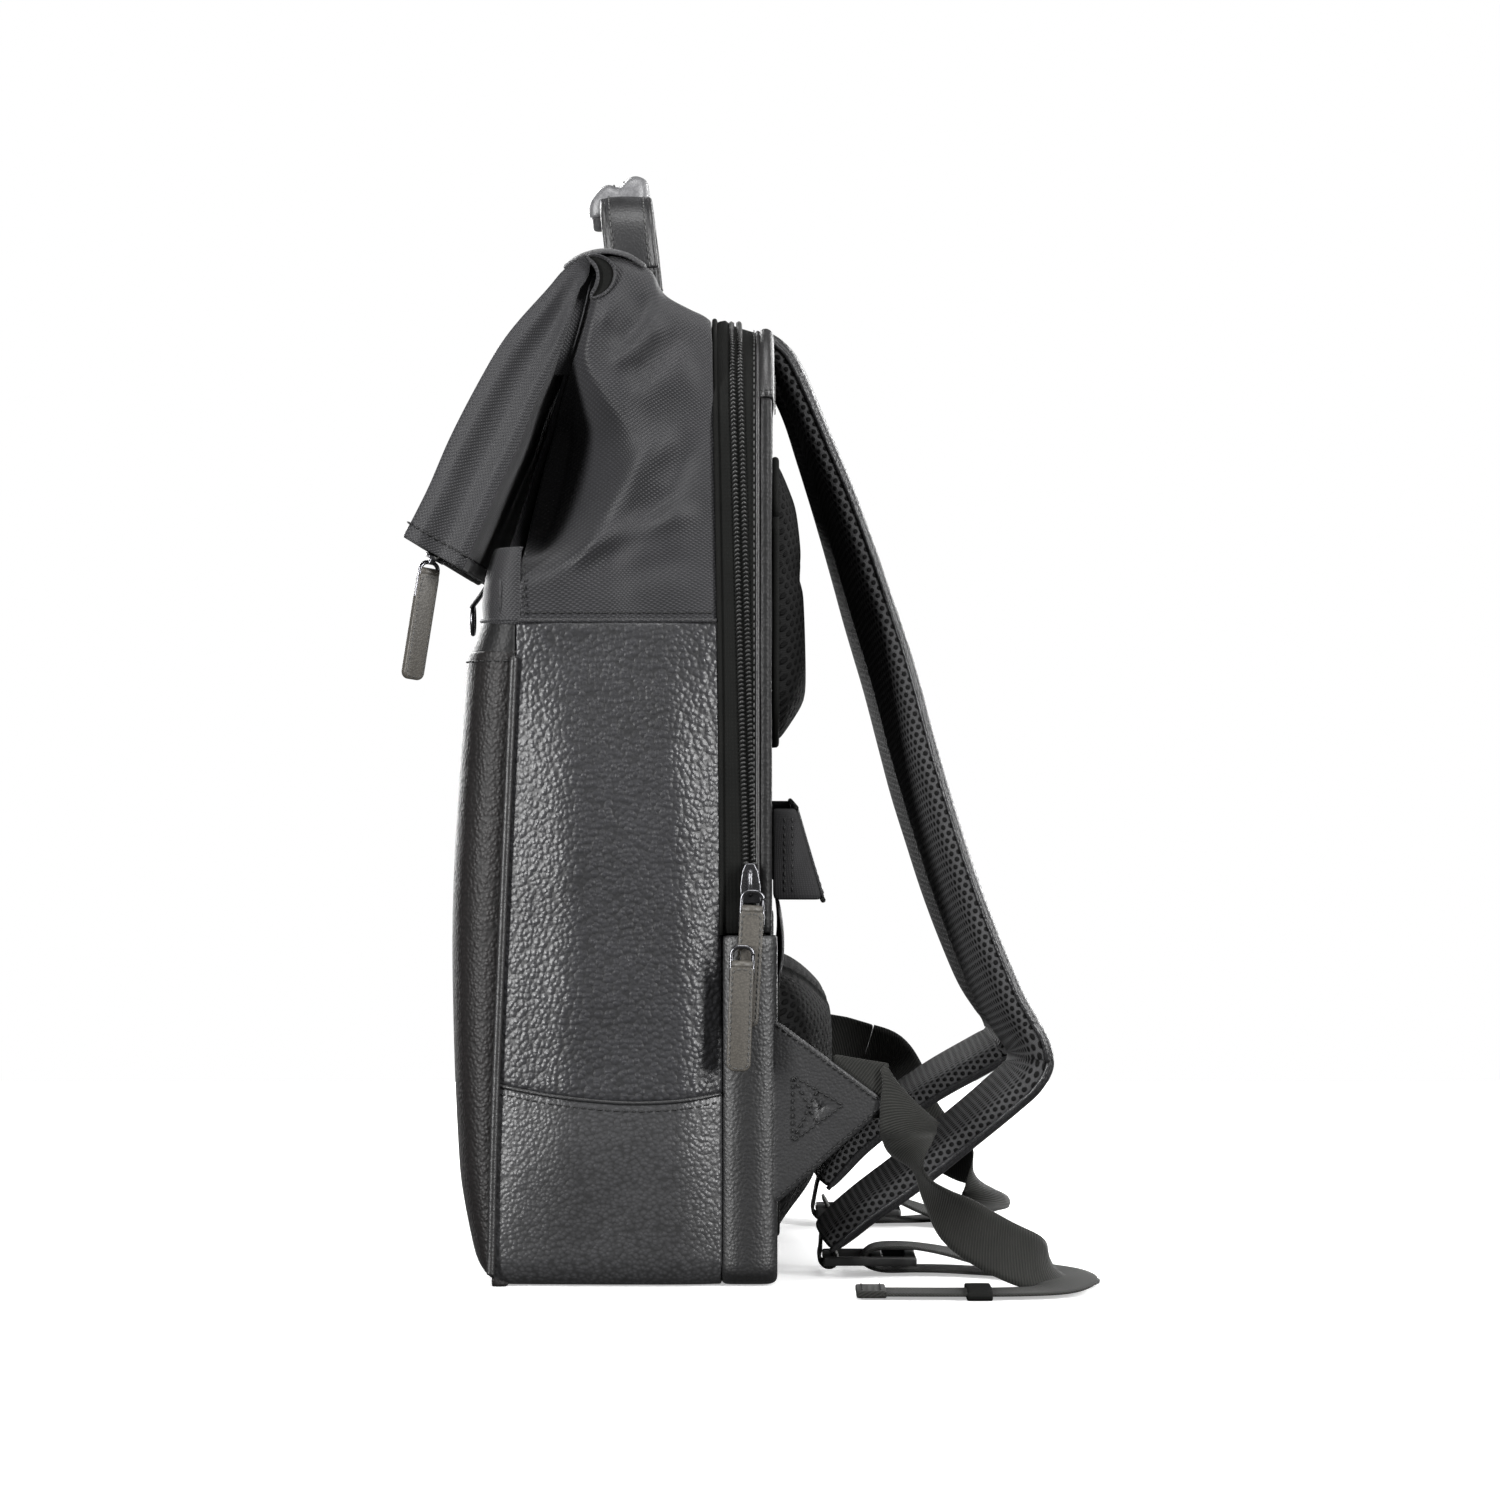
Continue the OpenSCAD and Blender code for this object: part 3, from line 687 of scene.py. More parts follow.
def side_bulge(y, z):
    """How far the filled side stands proud, with two soft upright folds over it."""
    share = (y - piping_y(z)) / (seam_y(z) - piping_y(z))
    edge = ramp(share, 0, 0.1) * ramp(1 - share, 0, 0.08)
    height = mix(0.2, 1.0, ramp(z, -20, 70)) * mix(0.22, 1.0, ramp(WAIST_Z - z, 0, 80))
    pillow_x = 6.8 * (1 - min(abs(2 * share - 1.04), 1) ** 2.3)
    lean = 0.05 * math.sin(z / 70.0)
    folds = 1.1 * math.exp(-((share - 0.27 - lean) / 0.12) ** 2)
    folds += 1.2 * math.exp(-((share - 0.8 - lean) / 0.1) ** 2)
    slack = 0.8 * wobble(y, 0, z, 46, 3.1) + 0.3 * wobble(y, 0, z, 18, 8.4)
    return height * pillow_x + edge * (0.5 + folds * height + slack)


def body_point(t, z):
    """Body skin: |t| up to 1 across the front, to 2 round a corner, to 3 along a side."""
    side, a = math.copysign(1, t), abs(t)
    front, corner = front_y(z), piping_y(z)
    if a <= 1:
        crown = 1.4 * (1 - a * a) + 0.5 * wobble(t * 120, 0, z, 55, 1.7)
        return Vector((side * FRONT_FLAT_X * a, front - crown, z))
    if a <= 2:
        turn = (a - 1) * math.pi / 2
        x = FRONT_FLAT_X + (HALF_W - FRONT_FLAT_X) * math.sin(turn)
        y = corner + (front - corner) * max(math.cos(turn), 0) ** 0.8
        slack = 0.5 * math.sin(math.pi * (a - 1)) * wobble(side * 40, 0, z, 48, 5.2)
        return Vector((side * (x + slack), y - slack, z))
    y = mix(corner, seam_y(z), a - 2)
    return Vector((side * (HALF_W + side_bulge(y, z)), y, z))


def body_skin_point(t, z):
    """body_point() with the lowest edge drawn in, as a filled bag's base is."""
    point = body_point(t, z)
    inset = base_inset(z)
    if inset:
        near, far = body_point(t - 0.02 if abs(t) > 0.05 else t, z), body_point(t + 0.02, z)
        along = (far - near).normalized()
        out = Vector((-along.y, along.x, 0)) * -1
        if out.dot(Vector((point.x, point.y + 5, 0))) < 0:
            out = -out
        point -= out * inset
    return point


def spread(low, high, count):
    return [mix(low, high, i / (count - 1)) for i in range(count)]


FOOT_HEIGHTS = [0.0, 0.6, 1.5, 3.5, 7.0, 12.0]
SIDE_SHARES = spread(0, 0.06, 4)[:-1] + spread(0.06, 0.94, 27) + spread(0.94, 1, 4)[1:]


def round_front(corner_count, front_count):
    """Values of t from one rear corner of the front, across it, to the other."""
    return (spread(-2, -1, corner_count)[:-1] + spread(-1, 1, front_count)
            + spread(1, 2, corner_count)[1:])


def add_front_skin():
    heights = FOOT_HEIGHTS + spread(18, POCKET_Z - 3, 56)
    columns = round_front(12, 31)
    rows = [[body_skin_point(t, z) for t in columns] for z in heights]
    rows.append([body_point(t, POCKET_Z - 0.6) + Vector((0, 0.4, 0)) for t in columns])
    rows.append([body_point(t, POCKET_Z) + Vector((0, 1.4, 0.4)) for t in columns])
    skin = grid("front_leather", rows, FRONT_LEATHER, thickness=2.2)
    place(skin, "bag", "leather_front", "pocket_panel")
    edge, facing = [], []
    for t in spread(-1.97, 1.97, 90):
        point = body_point(t, POCKET_Z - 4.5)
        out = (point - Vector((point.x * 0.8, 0, point.z))).normalized()
        edge.append(point)
        facing.append(out)
    place(stitches("pocket_stitching", edge, facing, THREAD, 4.2, 3.0, 0.45), "bag", "webbing")


def placket_point(t, z):
    """The slanted placket between the pocket's mouth and the waist seam."""
    point = body_point(t, POCKET_Z)
    share = (z - POCKET_Z) / (WAIST_Z + 1 - POCKET_Z)
    inward = 1.2 + 5.2 * max(share, 0) ** 0.8
    a = abs(t)
    point.y += inward * (1 if a <= 1 else max(math.cos((a - 1) * math.pi / 2), 0) ** 0.5)
    point.z = z
    point.x *= 1 - 0.004 * share
    return point


def add_placket():
    columns = round_front(10, 21)
    rows = [[placket_point(t, z) for t in columns] for z in spread(POCKET_Z - 3, WAIST_Z + 1, 8)]
    place(grid("placket", rows, REAR_LEATHER, thickness=1.6), "bag", "leather_edge",
          "pocket_lip", "front_wall")


def skin_patch(name, side, bottom, top, material, lines):
    """A leather panel on one side between two seam heights, turned in a little at its edges."""
    rows = []
    for share in lines:
        row = []
        for a in SIDE_SHARES:
            t = side * (2 + a)
            y = mix(piping_y(100), seam_y(100), a)
            z = mix(bottom(y), top(y), share)
            point = body_skin_point(t, z)
            turned = max(0, 1 - min(share, 1 - share) * abs(top(y) - bottom(y)) / 2.5)
            point.x -= side * (1.3 * turned ** 2 if bottom(y) > 0 or share > 0.5 else 0)
            row.append(point)
        row.append(row[-1] + Vector((-side * 1.2, 0.7, 0)))
        row.append(row[-1] + Vector((-side * 4.0, 0.5, 0)))
        rows.append(row if side > 0 else row[::-1])
    return grid(name, rows, material, thickness=2.0)


def add_gussets():
    fine = [0, 0.006, 0.014]
    for side, label in SIDES:
        lines = fine + spread(0.03, 0.97, 46) + [1 - v for v in reversed(fine)]
        gusset = skin_patch("gusset_" + label, side, boot_seam_z, lambda y: WAIST_Z, PEBBLED, lines)
        place(gusset, "bag", "leather_black", "side_gusset_" + label)


SOLE_Z = 1.5


def add_boot():
    lines = [0, 0.007, 0.018, 0.042, 0.084, 0.14] + spread(0.19, 0.95, 20) + [0.985, 0.995, 1]
    pieces = [skin_patch("boot_side", side, lambda y: 0.0, boot_seam_z, BOOT_LEATHER, lines)
              for side in (1, -1)]
    outline = [body_skin_point(t, 0.0) for t in spread(2, 3, 20)]
    rows = [[Vector((point.x * share, point.y, SOLE_Z)) for point in outline]
            for share in spread(1, -1, 33)]
    pieces.append(grid("boot_base", rows, BOOT_LEATHER, thickness=1.2, offset=1, subdivide=0))
    front = [[Vector((x, y, SOLE_Z)) for x in spread(-136, 136, 21)]
             for y in (front_y(0) + 8.5, piping_y(0) + 0.5)]
    pieces.append(grid("boot_front", front, BOOT_LEATHER, thickness=1.2, offset=-1, subdivide=0))
    place(join("boot_skin", pieces), "bag", "leather_black", "boot")


def side_line(side, height, low=0.01, high=0.99, count=70, lift=0.0):
    """A line along a side at a height that varies with Y."""
    line = []
    for a in spread(low, high, count):
        y = mix(piping_y(100), seam_y(100), a)
        z = height(y)
        point = body_point(side * (2 + a), z)
        point.x += side * lift
        line.append(point)
    return line


def add_seams():
    for side, label in SIDES:
        out = [Vector((side, 0, 0))]
        below = side_line(side, lambda y: boot_seam_z(y) - 3.4)
        row = stitches("boot_stitching_" + label, below, out, THREAD, 3.6, 2.6, 0.42)
        place(row, "bag", "webbing")
        groove = side_line(side, lambda y: boot_seam_z(y) + 0.1, 0, 1, 60, -0.6)
        place(tube("boot_seam_" + label, groove, 0.9, BAND_LEATHER), "bag", "leather_black")
        path = smooth([body_point(side * 2.0, z) + Vector((side * 1.0, -0.6, 0))
                       for z in (5, 14, 50, 89, 130, 180, 230, 262, 278)], 8)
        radii = [0.5] + [1.9] * (len(path) - 2) + [0.8]
        cord = tube("piping_tube_" + label, path, radii, EDGE_LEATHER, sides=14, subdivide=1)
        place(cord, "bag", "leather_edge", "piping_" + label)


def add_patch():
    """Blank patch low on the front, with turned edges and a stitched border."""
    rows = []
    for z in spread(57, 84, 12):
        row = []
        for x in spread(-36, 36, 25):
            border = min((36 - abs(x)) / 3, (z - 57) / 3, (84 - z) / 3, 1)
            row.append(Vector((x, front_y(z) - 1.9 - 1.5 * math.sqrt(max(border, 0)), z)))
        rows.append(row)
    patch = grid("blank_patch", rows, BAND_LEATHER, thickness=1.4)
    place(patch, "bag", "leather_front", "front_patch")
    loop = [(-33, 60), (33, 60), (33, 81), (-33, 81), (-33, 60)]
    line = [Vector((x, front_y(z) - 3.5, z)) for a, b in zip(loop, loop[1:])
            for x, z in [(mix(a[0], b[0], s), mix(a[1], b[1], s)) for s in spread(0, 1, 20)]]
    place(stitches("patch_stitching", line, [Vector((0, -1, 0))], THREAD, 3.4, 2.4, 0.4),
          "bag", "webbing")


# ---------------------------------------------------------------- coated fabric top

upper_front_y = table([(293, -44.5), (326, -44), (350, -39), (371, -33.5), (389, -28), (408, -21),
                       (427, -15), (440, -12), (449, -9.5), (456, -9)])
roof_z = table([(0, 453.5), (0.12, 455), (0.3, 452.5), (0.47, 448), (0.6, 438), (0.8, 431.8),
                (0.93, 428.5), (1, 425.5)])
ROOF_R = 9.0
UPPER_HALF = HALF_W - 0.6


def ridge(y, z, line, width, height):
    """A soft fold along a polyline in the Y-Z plane, fading out at both ends."""
    best, where, total = 1e9, 0.0, 0.0
    lengths = [math.dist(a, b) for a, b in zip(line, line[1:])]
    whole = sum(lengths)
    for (a, b), length in zip(zip(line, line[1:]), lengths):
        share = ((y - a[0]) * (b[0] - a[0]) + (z - a[1]) * (b[1] - a[1])) / length ** 2
        share = min(max(share, 0), 1)
        away = math.dist((y, z), (mix(a[0], b[0], share), mix(a[1], b[1], share)))
        if away < best:
            best, where = away, (total + share * length) / whole
        total += length
    return height * math.exp(-(best / width) ** 2) * ramp(where, 0, 0.25) * ramp(1 - where, 0, 0.25)


# each fold: its line as (y, z) points, its width, and how far it stands proud (+) or sinks (-)
FOLDS = [
    ([(22, 438), (20, 428), (4.5, 412), (-6, 404)], 4.5, 3.4),
    ([(14, 442), (9, 425), (-4, 410)], 5, -3.2),
    ([(24, 382), (17.6, 372.7), (-0.9, 349), (-24, 318)], 6.5, 4.4),
    ([(34, 380), (22, 350), (2, 330), (-20, 306)], 6.5, -3.4),
    ([(38, 346), (30.8, 342), (-8.8, 327.8), (-24, 316)], 5.0, 3.4),
    ([(36, 322), (10, 314), (-16, 303)], 6.0, -1.8),
    ([(36, 405), (18, 398), (4, 388)], 8, 2.2),
    ([(30, 424), (16, 408), (2, 396)], 5, -2.0),
    ([(4, 452), (-2, 436), (-9, 420)], 3.4, 2.6),
]


# how much of the side wall is drawn in behind the flap, by height
tuck_width = table([(304, 5), (316, 20), (330, 38), (350, 46), (372, 41), (390, 24), (404, 9),
                    (416, 4), (440, 3), (456, 2)])


def upper_fold(y, z, mirror):
    """Proud (+) and drawn-in (-) places of an upper side wall."""
    depth = sum(ridge(y + mirror * 3, z - mirror * 5, *fold) for fold in FOLDS)
    depth += 0.8 * wobble(y, mirror * 9, z, 26, 4.4) + 0.35 * wobble(y, mirror * 9, z, 10, 2.2)
    free = ramp(z, 306, 336)
    width = tuck_width(z)
    tucked = min(max((upper_front_y(z) + width - y) / (0.76 * width), 0), 1)
    depth -= min(1.35 * width, 47) * free * tucked ** 1.55
    calm = ramp(z, WAIST_Z, WAIST_Z + 30) * ramp(seam_y(z) - y, 0, 9)
    return depth * calm + 1.2 * ramp(z, WAIST_Z, WAIST_Z + 20) * ramp(seam_y(z) - y, 0, 20)


def upper_side_point(side, station, share):
    top = roof_z(station) - ROOF_R
    z = mix(WAIST_Z - 0.5, top, share)
    y = mix(upper_front_y(z), seam_y(z), station)
    x = UPPER_HALF + upper_fold(y, z, side < 0) * ramp(1 - share, -0.02, 0.1)
    return Vector((side * x, y, z))


def roof_point(station, x_share):
    """Roof across the bag; x_share runs from -1 to 1."""
    z = roof_z(station)
    y = mix(upper_front_y(z), seam_y(z), station)
    x = (UPPER_HALF - ROOF_R) * x_share
    slack = 1.1 * wobble(x, y, 0, 34, 6.1) + 0.5 * wobble(x, y, 0, 13, 1.3)
    sag = -1.5 * (1 - x_share ** 2) * math.sin(math.pi * station)
    return Vector((x, y, z + (slack + sag) * ramp(1 - abs(x_share), 0, 0.15)))


def add_upper_skin():
    shares = spread(0, 1, 56)
    rows = []
    for station in spread(0, 1, 40):
        near = [upper_side_point(1, station, s) for s in shares]
        far = [upper_side_point(-1, station, s) for s in shares]
        z = roof_z(station)
        y = mix(upper_front_y(z), seam_y(z), station)
        turn = [(UPPER_HALF - ROOF_R + ROOF_R * math.cos(a), z - ROOF_R + ROOF_R * math.sin(a))
                for a in (math.pi / 2 * k / 6 for k in range(1, 6))]
        near_turn = [Vector((x, y, height)) for x, height in turn]
        far_turn = [Vector((-x, y, height)) for x, height in reversed(turn)]
        roof = [roof_point(station, s) for s in spread(1, -1, 41)]
        rows.append(near + near_turn + roof + far_turn + far[::-1])
    skin = grid("upper_fabric", [row[::-1] for row in rows], FABRIC, thickness=1.5)
    place(skin, "bag", "coated_fabric", "upper_side_right", "upper_side_left", "upper_back")


strip_y = table([(292, -61.5), (300, -62.5), (313, -61), (326, -57)])


def front_strip_point(t, z):
    side, a = math.copysign(1, t), abs(t)
    if a <= 1:
        slack = 0.9 * wobble(t * 110, 0, z, 30, 7.7)
        return Vector((side * 122 * a, strip_y(z) - slack, z))
    turn = (a - 1) * math.pi / 2
    corner = upper_front_y(z) + 1.0
    return Vector((side * (122 + (HALF_W - 122 + 0.2) * math.sin(turn)),
                   corner + (strip_y(z) - corner) * max(math.cos(turn), 0) ** 0.8, z))


def add_front_strip():
    columns = round_front(10, 31)
    heights = [291.5, 293, 296] + spread(300, 323, 8) + [325.2, 326]
    rows = []
    for z in heights:
        row = []
        for t in columns:
            point = front_strip_point(t, min(z, 326))
            if z == 326:
                point.y += 1.4
            row.append(point)
        rows.append(row)
    place(grid("upper_front_fabric", rows, FABRIC, thickness=1.4), "bag", "coated_fabric",
          "upper_front")
    for side, label in SIDES:
        line = [front_strip_point(side * 2, z) + Vector((side * 0.3, 1.6, 0))
                for z in spread(295, 324, 12)]
        row = stitches("corner_stitching_" + label, line, [Vector((side, 0, 0))], THREAD,
                       3.6, 2.6, 0.35)
        place(row, "bag", "webbing")


flap_inner_y = table([(314, -68), (329, -62), (352, -52), (371, -43), (389, -36), (408, -27),
                      (427, -21), (439, -18.3), (446, -16.6)])


def add_throats():
    """Fabric between the side walls and the flap's inner edge, just under the fold."""
    for side, label in SIDES:
        rows = []
        for z in spread(402, 447, 24):
            low, high = upper_front_y(z) + 5, flap_inner_y(z) - 2.5
            wall_x = HALF_W - 2.0 + upper_fold(upper_front_y(z), z, side < 0)
            row = []
            for share in spread(0, 1, 12):
                y = mix(low, high, share)
                x = mix(wall_x, HALF_W - 4, 0.3 * share) - 1.5 * math.sin(math.pi * share)
                row.append(Vector((side * (x - 0.5 * wobble(y, side, z, 9, 2.0)), y, z)))
            rows.append(row if side < 0 else row[::-1])
        sheet = grid("throat_" + label, rows, FABRIC, thickness=1.4)
        place(sheet, "bag", "coated_fabric")


def mouth_top(x):
    """Upper edge of the front panel under the flap: low in the middle, high at both sides."""
    return mix(344, 446, ramp(abs(x), 56, 112))


def add_mouth_panel():
    """Front of the fabric top under the flap, with the bag's mouth cut down into it."""
    columns, rows = spread(-1, 1, 61), []
    for share in spread(0, 1, 34):
        row = []
        for s in columns:
            low = 296.0
            z = low
            for _ in range(6):
                y = upper_front_y(z)
                half = HALF_W - 1.4 + upper_fold(y, z, s < 0)
                z = mix(low, mouth_top(s * half), share)
            slack = 0.6 * wobble(s * half, 7, z, 24, 3.7)
            y += 0.6 + slack * (1 - abs(s)) - 0.4 * (y - flap_inner_y(z)) * abs(s) ** 8
            row.append(Vector((s * half, y, z)))
        rows.append(row)
    panel = grid("mouth_panel", rows, FABRIC, thickness=1.4, offset=0)
    rim = tube("mouth_rim", rows[-1], 1.1, TAPE)
    place(join("mouth_panel", [panel, rim]), "bag", "coated_fabric")


def add_waist():
    """Waist seam: a turned fabric edge with a dashed stitch line on the fabric."""
    for side, label in SIDES:
        line = [Vector((side * (HALF_W + 0.7), y, WAIST_Z + 0.3)) for y in spread(-45, 42.5, 40)]
        corner = [placket_point(side * t, WAIST_Z + 0.8) + Vector((0, -0.3, 0))
                  for t in spread(1.0, 1.96, 14)]
        place(tube("waist_seam_" + label, line, 0.85, FABRIC), "bag", "coated_fabric")
        place(tube("placket_seam_" + label, corner, 0.8, FABRIC), "bag", "coated_fabric")
        z = WAIST_Z + 3.8
        dashes = [Vector((side * (HALF_W - 0.2 + upper_fold(y, z, side < 0)), y, z))
                  for y in spread(-43, 41, 60)]
        row = stitches("waist_stitching_" + label, dashes, [Vector((side, 0, 0))], THREAD,
                       3.7, 2.7, 0.45)
        place(row, "bag", "webbing")


# ---------------------------------------------------------------- flap and handle

FLAP_OUTER = [(-16, 454.5), (-25, 449), (-32, 441), (-50, 421), (-63, 400), (-76, 375), (-86, 352),
              (-97, 330.6)]
FLAP_INNER = [(-18, 439), (-21, 427), (-27, 408), (-36, 389), (-43, 371), (-52, 352), (-62, 329),
              (-68, 314.6)]


FLAP_ROWS = 44


def flap_lines(count):
    outer = resample(smooth([(0, y, z) for y, z in FLAP_OUTER], 6), count)
    inner = resample(smooth([(0, y, z) for y, z in FLAP_INNER], 6), count)
    return outer, inner


# soft folds down the flap's side: where across it, how wide, and how high
FLANK_FOLDS = [(0.27, 0.12, 2.3), (0.55, 0.15, -2.4), (0.84, 0.09, 1.5)]
SIDE_COLUMNS, WIDE_COLUMNS = 22, 27


def flap_ring(outer, inner, share):
    """One closed section of the flap, from the outer wall round the near side to the inner wall."""
    depth = inner - outer
    half = UPPER_HALF
    swell = ramp(share, 0, 0.2)

    def wall(x, along, out):
        edge = min(1, (half - abs(x)) / 7)
        rounding = 2.6 * (1 - edge) ** 2
        slack = 0.7 * wobble(x, share * 150, 3, 32, 2.5) * edge
        puff = depth.normalized() * (rounding * out + slack)
        return outer + depth * along + puff + Vector((x, 0, 0))

    def flank(side, along):
        folds = sum(height * math.exp(-((along - at) / width) ** 2)
                    for at, width, height in FLANK_FOLDS)
        slack = 0.5 * wobble(side * 50, share * 150, along * 30, 24, 6.3)
        x = half - 1.4 + (folds * swell + slack) * ramp(min(along, 1 - along), 0, 0.14)
        return outer + depth * along + Vector((side * x, 0, 0))

    ring = [wall(x, 0, 1) for x in spread(-half + 1, half - 1, WIDE_COLUMNS)]
    ring += [flank(1, along) for along in spread(0.03, 0.97, SIDE_COLUMNS)]
    ring += [wall(x, 1, -1) for x in spread(half - 1, -half + 1, WIDE_COLUMNS)]
    return ring + [flank(-1, along) for along in spread(0.97, 0.03, SIDE_COLUMNS)]


def add_flap():
    outer, inner = flap_lines(FLAP_ROWS)
    rows = []
    top_centre = (outer[0] + inner[0]) / 2
    for out, spread_by in ((3.6, 0.25), (3.2, 0.6), (1.8, 0.88)):
        lift = Vector((0, out, out * 0.5))
        a = top_centre.lerp(outer[0], spread_by) + lift
        b = top_centre.lerp(inner[0], spread_by) + lift
        rows.append(flap_ring(a, b, 0))
    for i, (a, b) in enumerate(zip(outer, inner)):
        rows.append(flap_ring(a, b, i / (FLAP_ROWS - 1)))
    hem_in = (outer[-2] - outer[-1]).normalized()
    for back, shrink in ((0.4, 0.035), (3.0, 0.06), (9.0, 0.07)):
        a = outer[-1].lerp(inner[-1], shrink) + hem_in * back
        b = inner[-1].lerp(outer[-1], shrink) + hem_in * back
        ring = flap_ring(a, b, 1)
        rows.append([Vector((p.x * (1 - 0.018 * min(back, 3) / 3), p.y, p.z)) for p in ring])
    skin = grid("flap_fabric", rows, FABRIC, closed=True)
    end = mesh_object("flap_end", rows[0], [tuple(range(len(rows[0])))], FABRIC,
                      [(p.x, p.z) for p in rows[0]])
    place(join("flap_skin", [skin, end]), "flap_body", "coated_fabric", "flap")
    add_flap_stitching(outer, inner)
    add_mouth_zip(outer, inner)


def add_flap_stitching(outer, inner):
    """A row of stitches round the flap, just above its hem."""
    at = FLAP_ROWS - 3
    ring = flap_ring(outer[at], inner[at], at / (FLAP_ROWS - 1))
    centre = (outer[at] + inner[at]) / 2
    line = ring + [ring[0]]
    facing = []
    for p in line:
        if abs(p.x) > HALF_W - 4:
            facing.append(Vector((math.copysign(1, p.x), 0, 0)))
        else:
            facing.append(Vector((0, p.y - centre.y, p.z - centre.z)).normalized())
    loop = [p + n * 0.25 for p, n in zip(line, facing)]
    place(stitches("flap_stitching", loop, facing, THREAD, 3.8, 2.8, 0.5), "flap_body", "webbing")


COIL_PITCH = 1.9
COIL_REACH = 3.1
COIL_RADIUS = 0.62
COIL_RINGS = [(0.15, 0.25, 0.5), (0.55, 0.85, 1.0), (0.82, 0.35, 1.0), (1.0, -0.5, 0.7)]


def coil_teeth(name, line, out, across):
    """Two rows of slanted coil loops along a line, with unit vectors at each of its points."""
    count = int(path_length(line) / COIL_PITCH)
    spots = resample(line, count)
    outs, acrosses = resample(out, count), resample(across, count)
    points, faces = [], []
    sizes = [COIL_RADIUS * size for _, _, size in COIL_RINGS]
    for i, (spot, up, side) in enumerate(zip(spots, outs, acrosses)):
        along = (spots[min(i + 1, count - 1)] - spots[max(i - 1, 0)]).normalized()
        up, side = up.normalized(), side.normalized()
        for way in (1, -1):
            start = spot + along * (COIL_PITCH * 0.25 * way)
            centres = [start + side * (way * COIL_REACH * reach)
                       + along * (0.55 * reach * way) + up * (0.9 * rise)
                       for reach, rise, _ in COIL_RINGS]
            add_bead(points, faces, centres, sizes, along, up, flip=way < 0)
    return mesh_object(name, points, faces, COIL)


def add_mouth_zip(outer, inner):
    """Zip along the flap's hem, between its two walls."""
    a, b = outer[-1], inner[-1]
    across = (b - a).normalized()
    along_flap = (outer[-1] - outer[-3]).normalized()
    centre = (a + b) / 2 - along_flap * 0.5
    half = HALF_W - 4
    strip = [centre + across * (13.5 * s) + along_flap * (-3.5 * abs(s) ** 3)
             for s in spread(-1, 1, 11)]
    rows = [[p + Vector((x, 0, 0)) for p in strip] for x in spread(-half, half, 60)]
    tape = grid("mouth_tape", rows, TAPE, thickness=1.0, offset=0)
    line = [centre + along_flap * 0.8 + Vector((x, 0, 0)) for x in (-half + 2, half - 2)]
    teeth = coil_teeth("mouth_teeth", line, [along_flap] * 2, [across] * 2)
    place(join("mouth_zip", [tape, teeth]), "flap_body", "zip_tape", "flap_zip")


FOLD_LINE = [(11, 451), (4, 455.5), (-3, 457.4), (-9, 457.6), (-15, 456.4), (-20, 454.2),
             (-25, 450.6)]
# the rolled end of the fold as (y, z), its middle, and its sections as (outward, size)
LOBE_RING = [(-14.5, 454.6), (-9, 454.8), (-4, 452.4), (-1.0, 447.6), (-1.6, 442), (-5, 437),
             (-10.5, 434.4), (-14, 434.8), (-12.8, 438), (-10.6, 441.5), (-10.2, 446),
             (-11.8, 450), (-15.2, 452.4)]
LOBE_CENTRE = Vector((0, -7.6, 445.2))
LOBE_SECTIONS = ((4.6, 0.96), (4.2, 1.0), (-2, 1.03), (-14, 0.92), (-34, 0.6))


def lobe_section(x, size):
    return [LOBE_CENTRE + (Vector((0, y, z)) - LOBE_CENTRE) * size + Vector((x, 0, 0))
            for y, z in LOBE_RING]


def add_fold_sheet():
    """Fabric over the fold, from the roof to the flap, with a rolled lobe under its ends."""
    rows = []
    half = HALF_W - 2.0
    curve = smooth([(0, y, z) for y, z in FOLD_LINE], 4)
    for p in curve:
        row = []
        for x in spread(-half, half, 61):
            edge = min(1, (half - abs(x)) / 13)
            slack = 0.7 * wobble(x, p.y, 8, 26, 3.3) * edge
            row.append(Vector((x, p.y, p.z + slack - 2.6 * (1 - math.sqrt(1 - (1 - edge) ** 2)))))
        rows.append(row)
    sheet = grid("fold_fabric", rows, FABRIC, thickness=1.5, offset=0)
    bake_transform(sheet)
    lobes = []
    for side in (1, -1):
        rows = [lobe_section(side * (half - 0.4 + out), size) for out, size in LOBE_SECTIONS]
        lobes.append(grid("lobe", rows if side > 0 else [row[::-1] for row in rows], FABRIC,
                          thickness=1.6, closed=True, subdivide=2))
        # The near-black tape-cloth cap in each lobe's open end is painted shade: it stands in for
        # the dark hollow inside the rolled fold.
        inside = lobe_section(side * (half + 2.4), 0.94)
        order = tuple(range(len(inside)))
        lobes.append(mesh_object("lobe_inside", inside, [order[::-1] if side > 0 else order], TAPE,
                                 [(p.y, p.z) for p in inside]))
    place(join("fold_lobes", lobes), "bag", "coated_fabric")


HANDLE_LEAN = 0.11
HANDLE_LINE = [(-50, 457), (-50, 470), (-46, 482), (-34, 490), (-14, 494), (14, 494), (34, 490),
               (46, 482), (50, 470), (50, 457)]


def band(name, path, across, half_width, material, thickness, columns=11, crown=0.0, edge=0.0):
    """A strap swept along a path; crown lifts its middle and edge drops its two edges."""
    rows = []
    for i, (point, _, side, up) in enumerate(frames_along(path, across)):
        half = half_width[i] if isinstance(half_width, list) else half_width
        row = []
        for s in spread(-1, 1, columns):
            lift = crown * (1 - s * s) - edge * max(0, abs(s) - 0.8) / 0.2
            row.append(point + side * (half * s) + up * lift)
        rows.append(row)
    return grid(name, rows, material, thickness=thickness, offset=0)


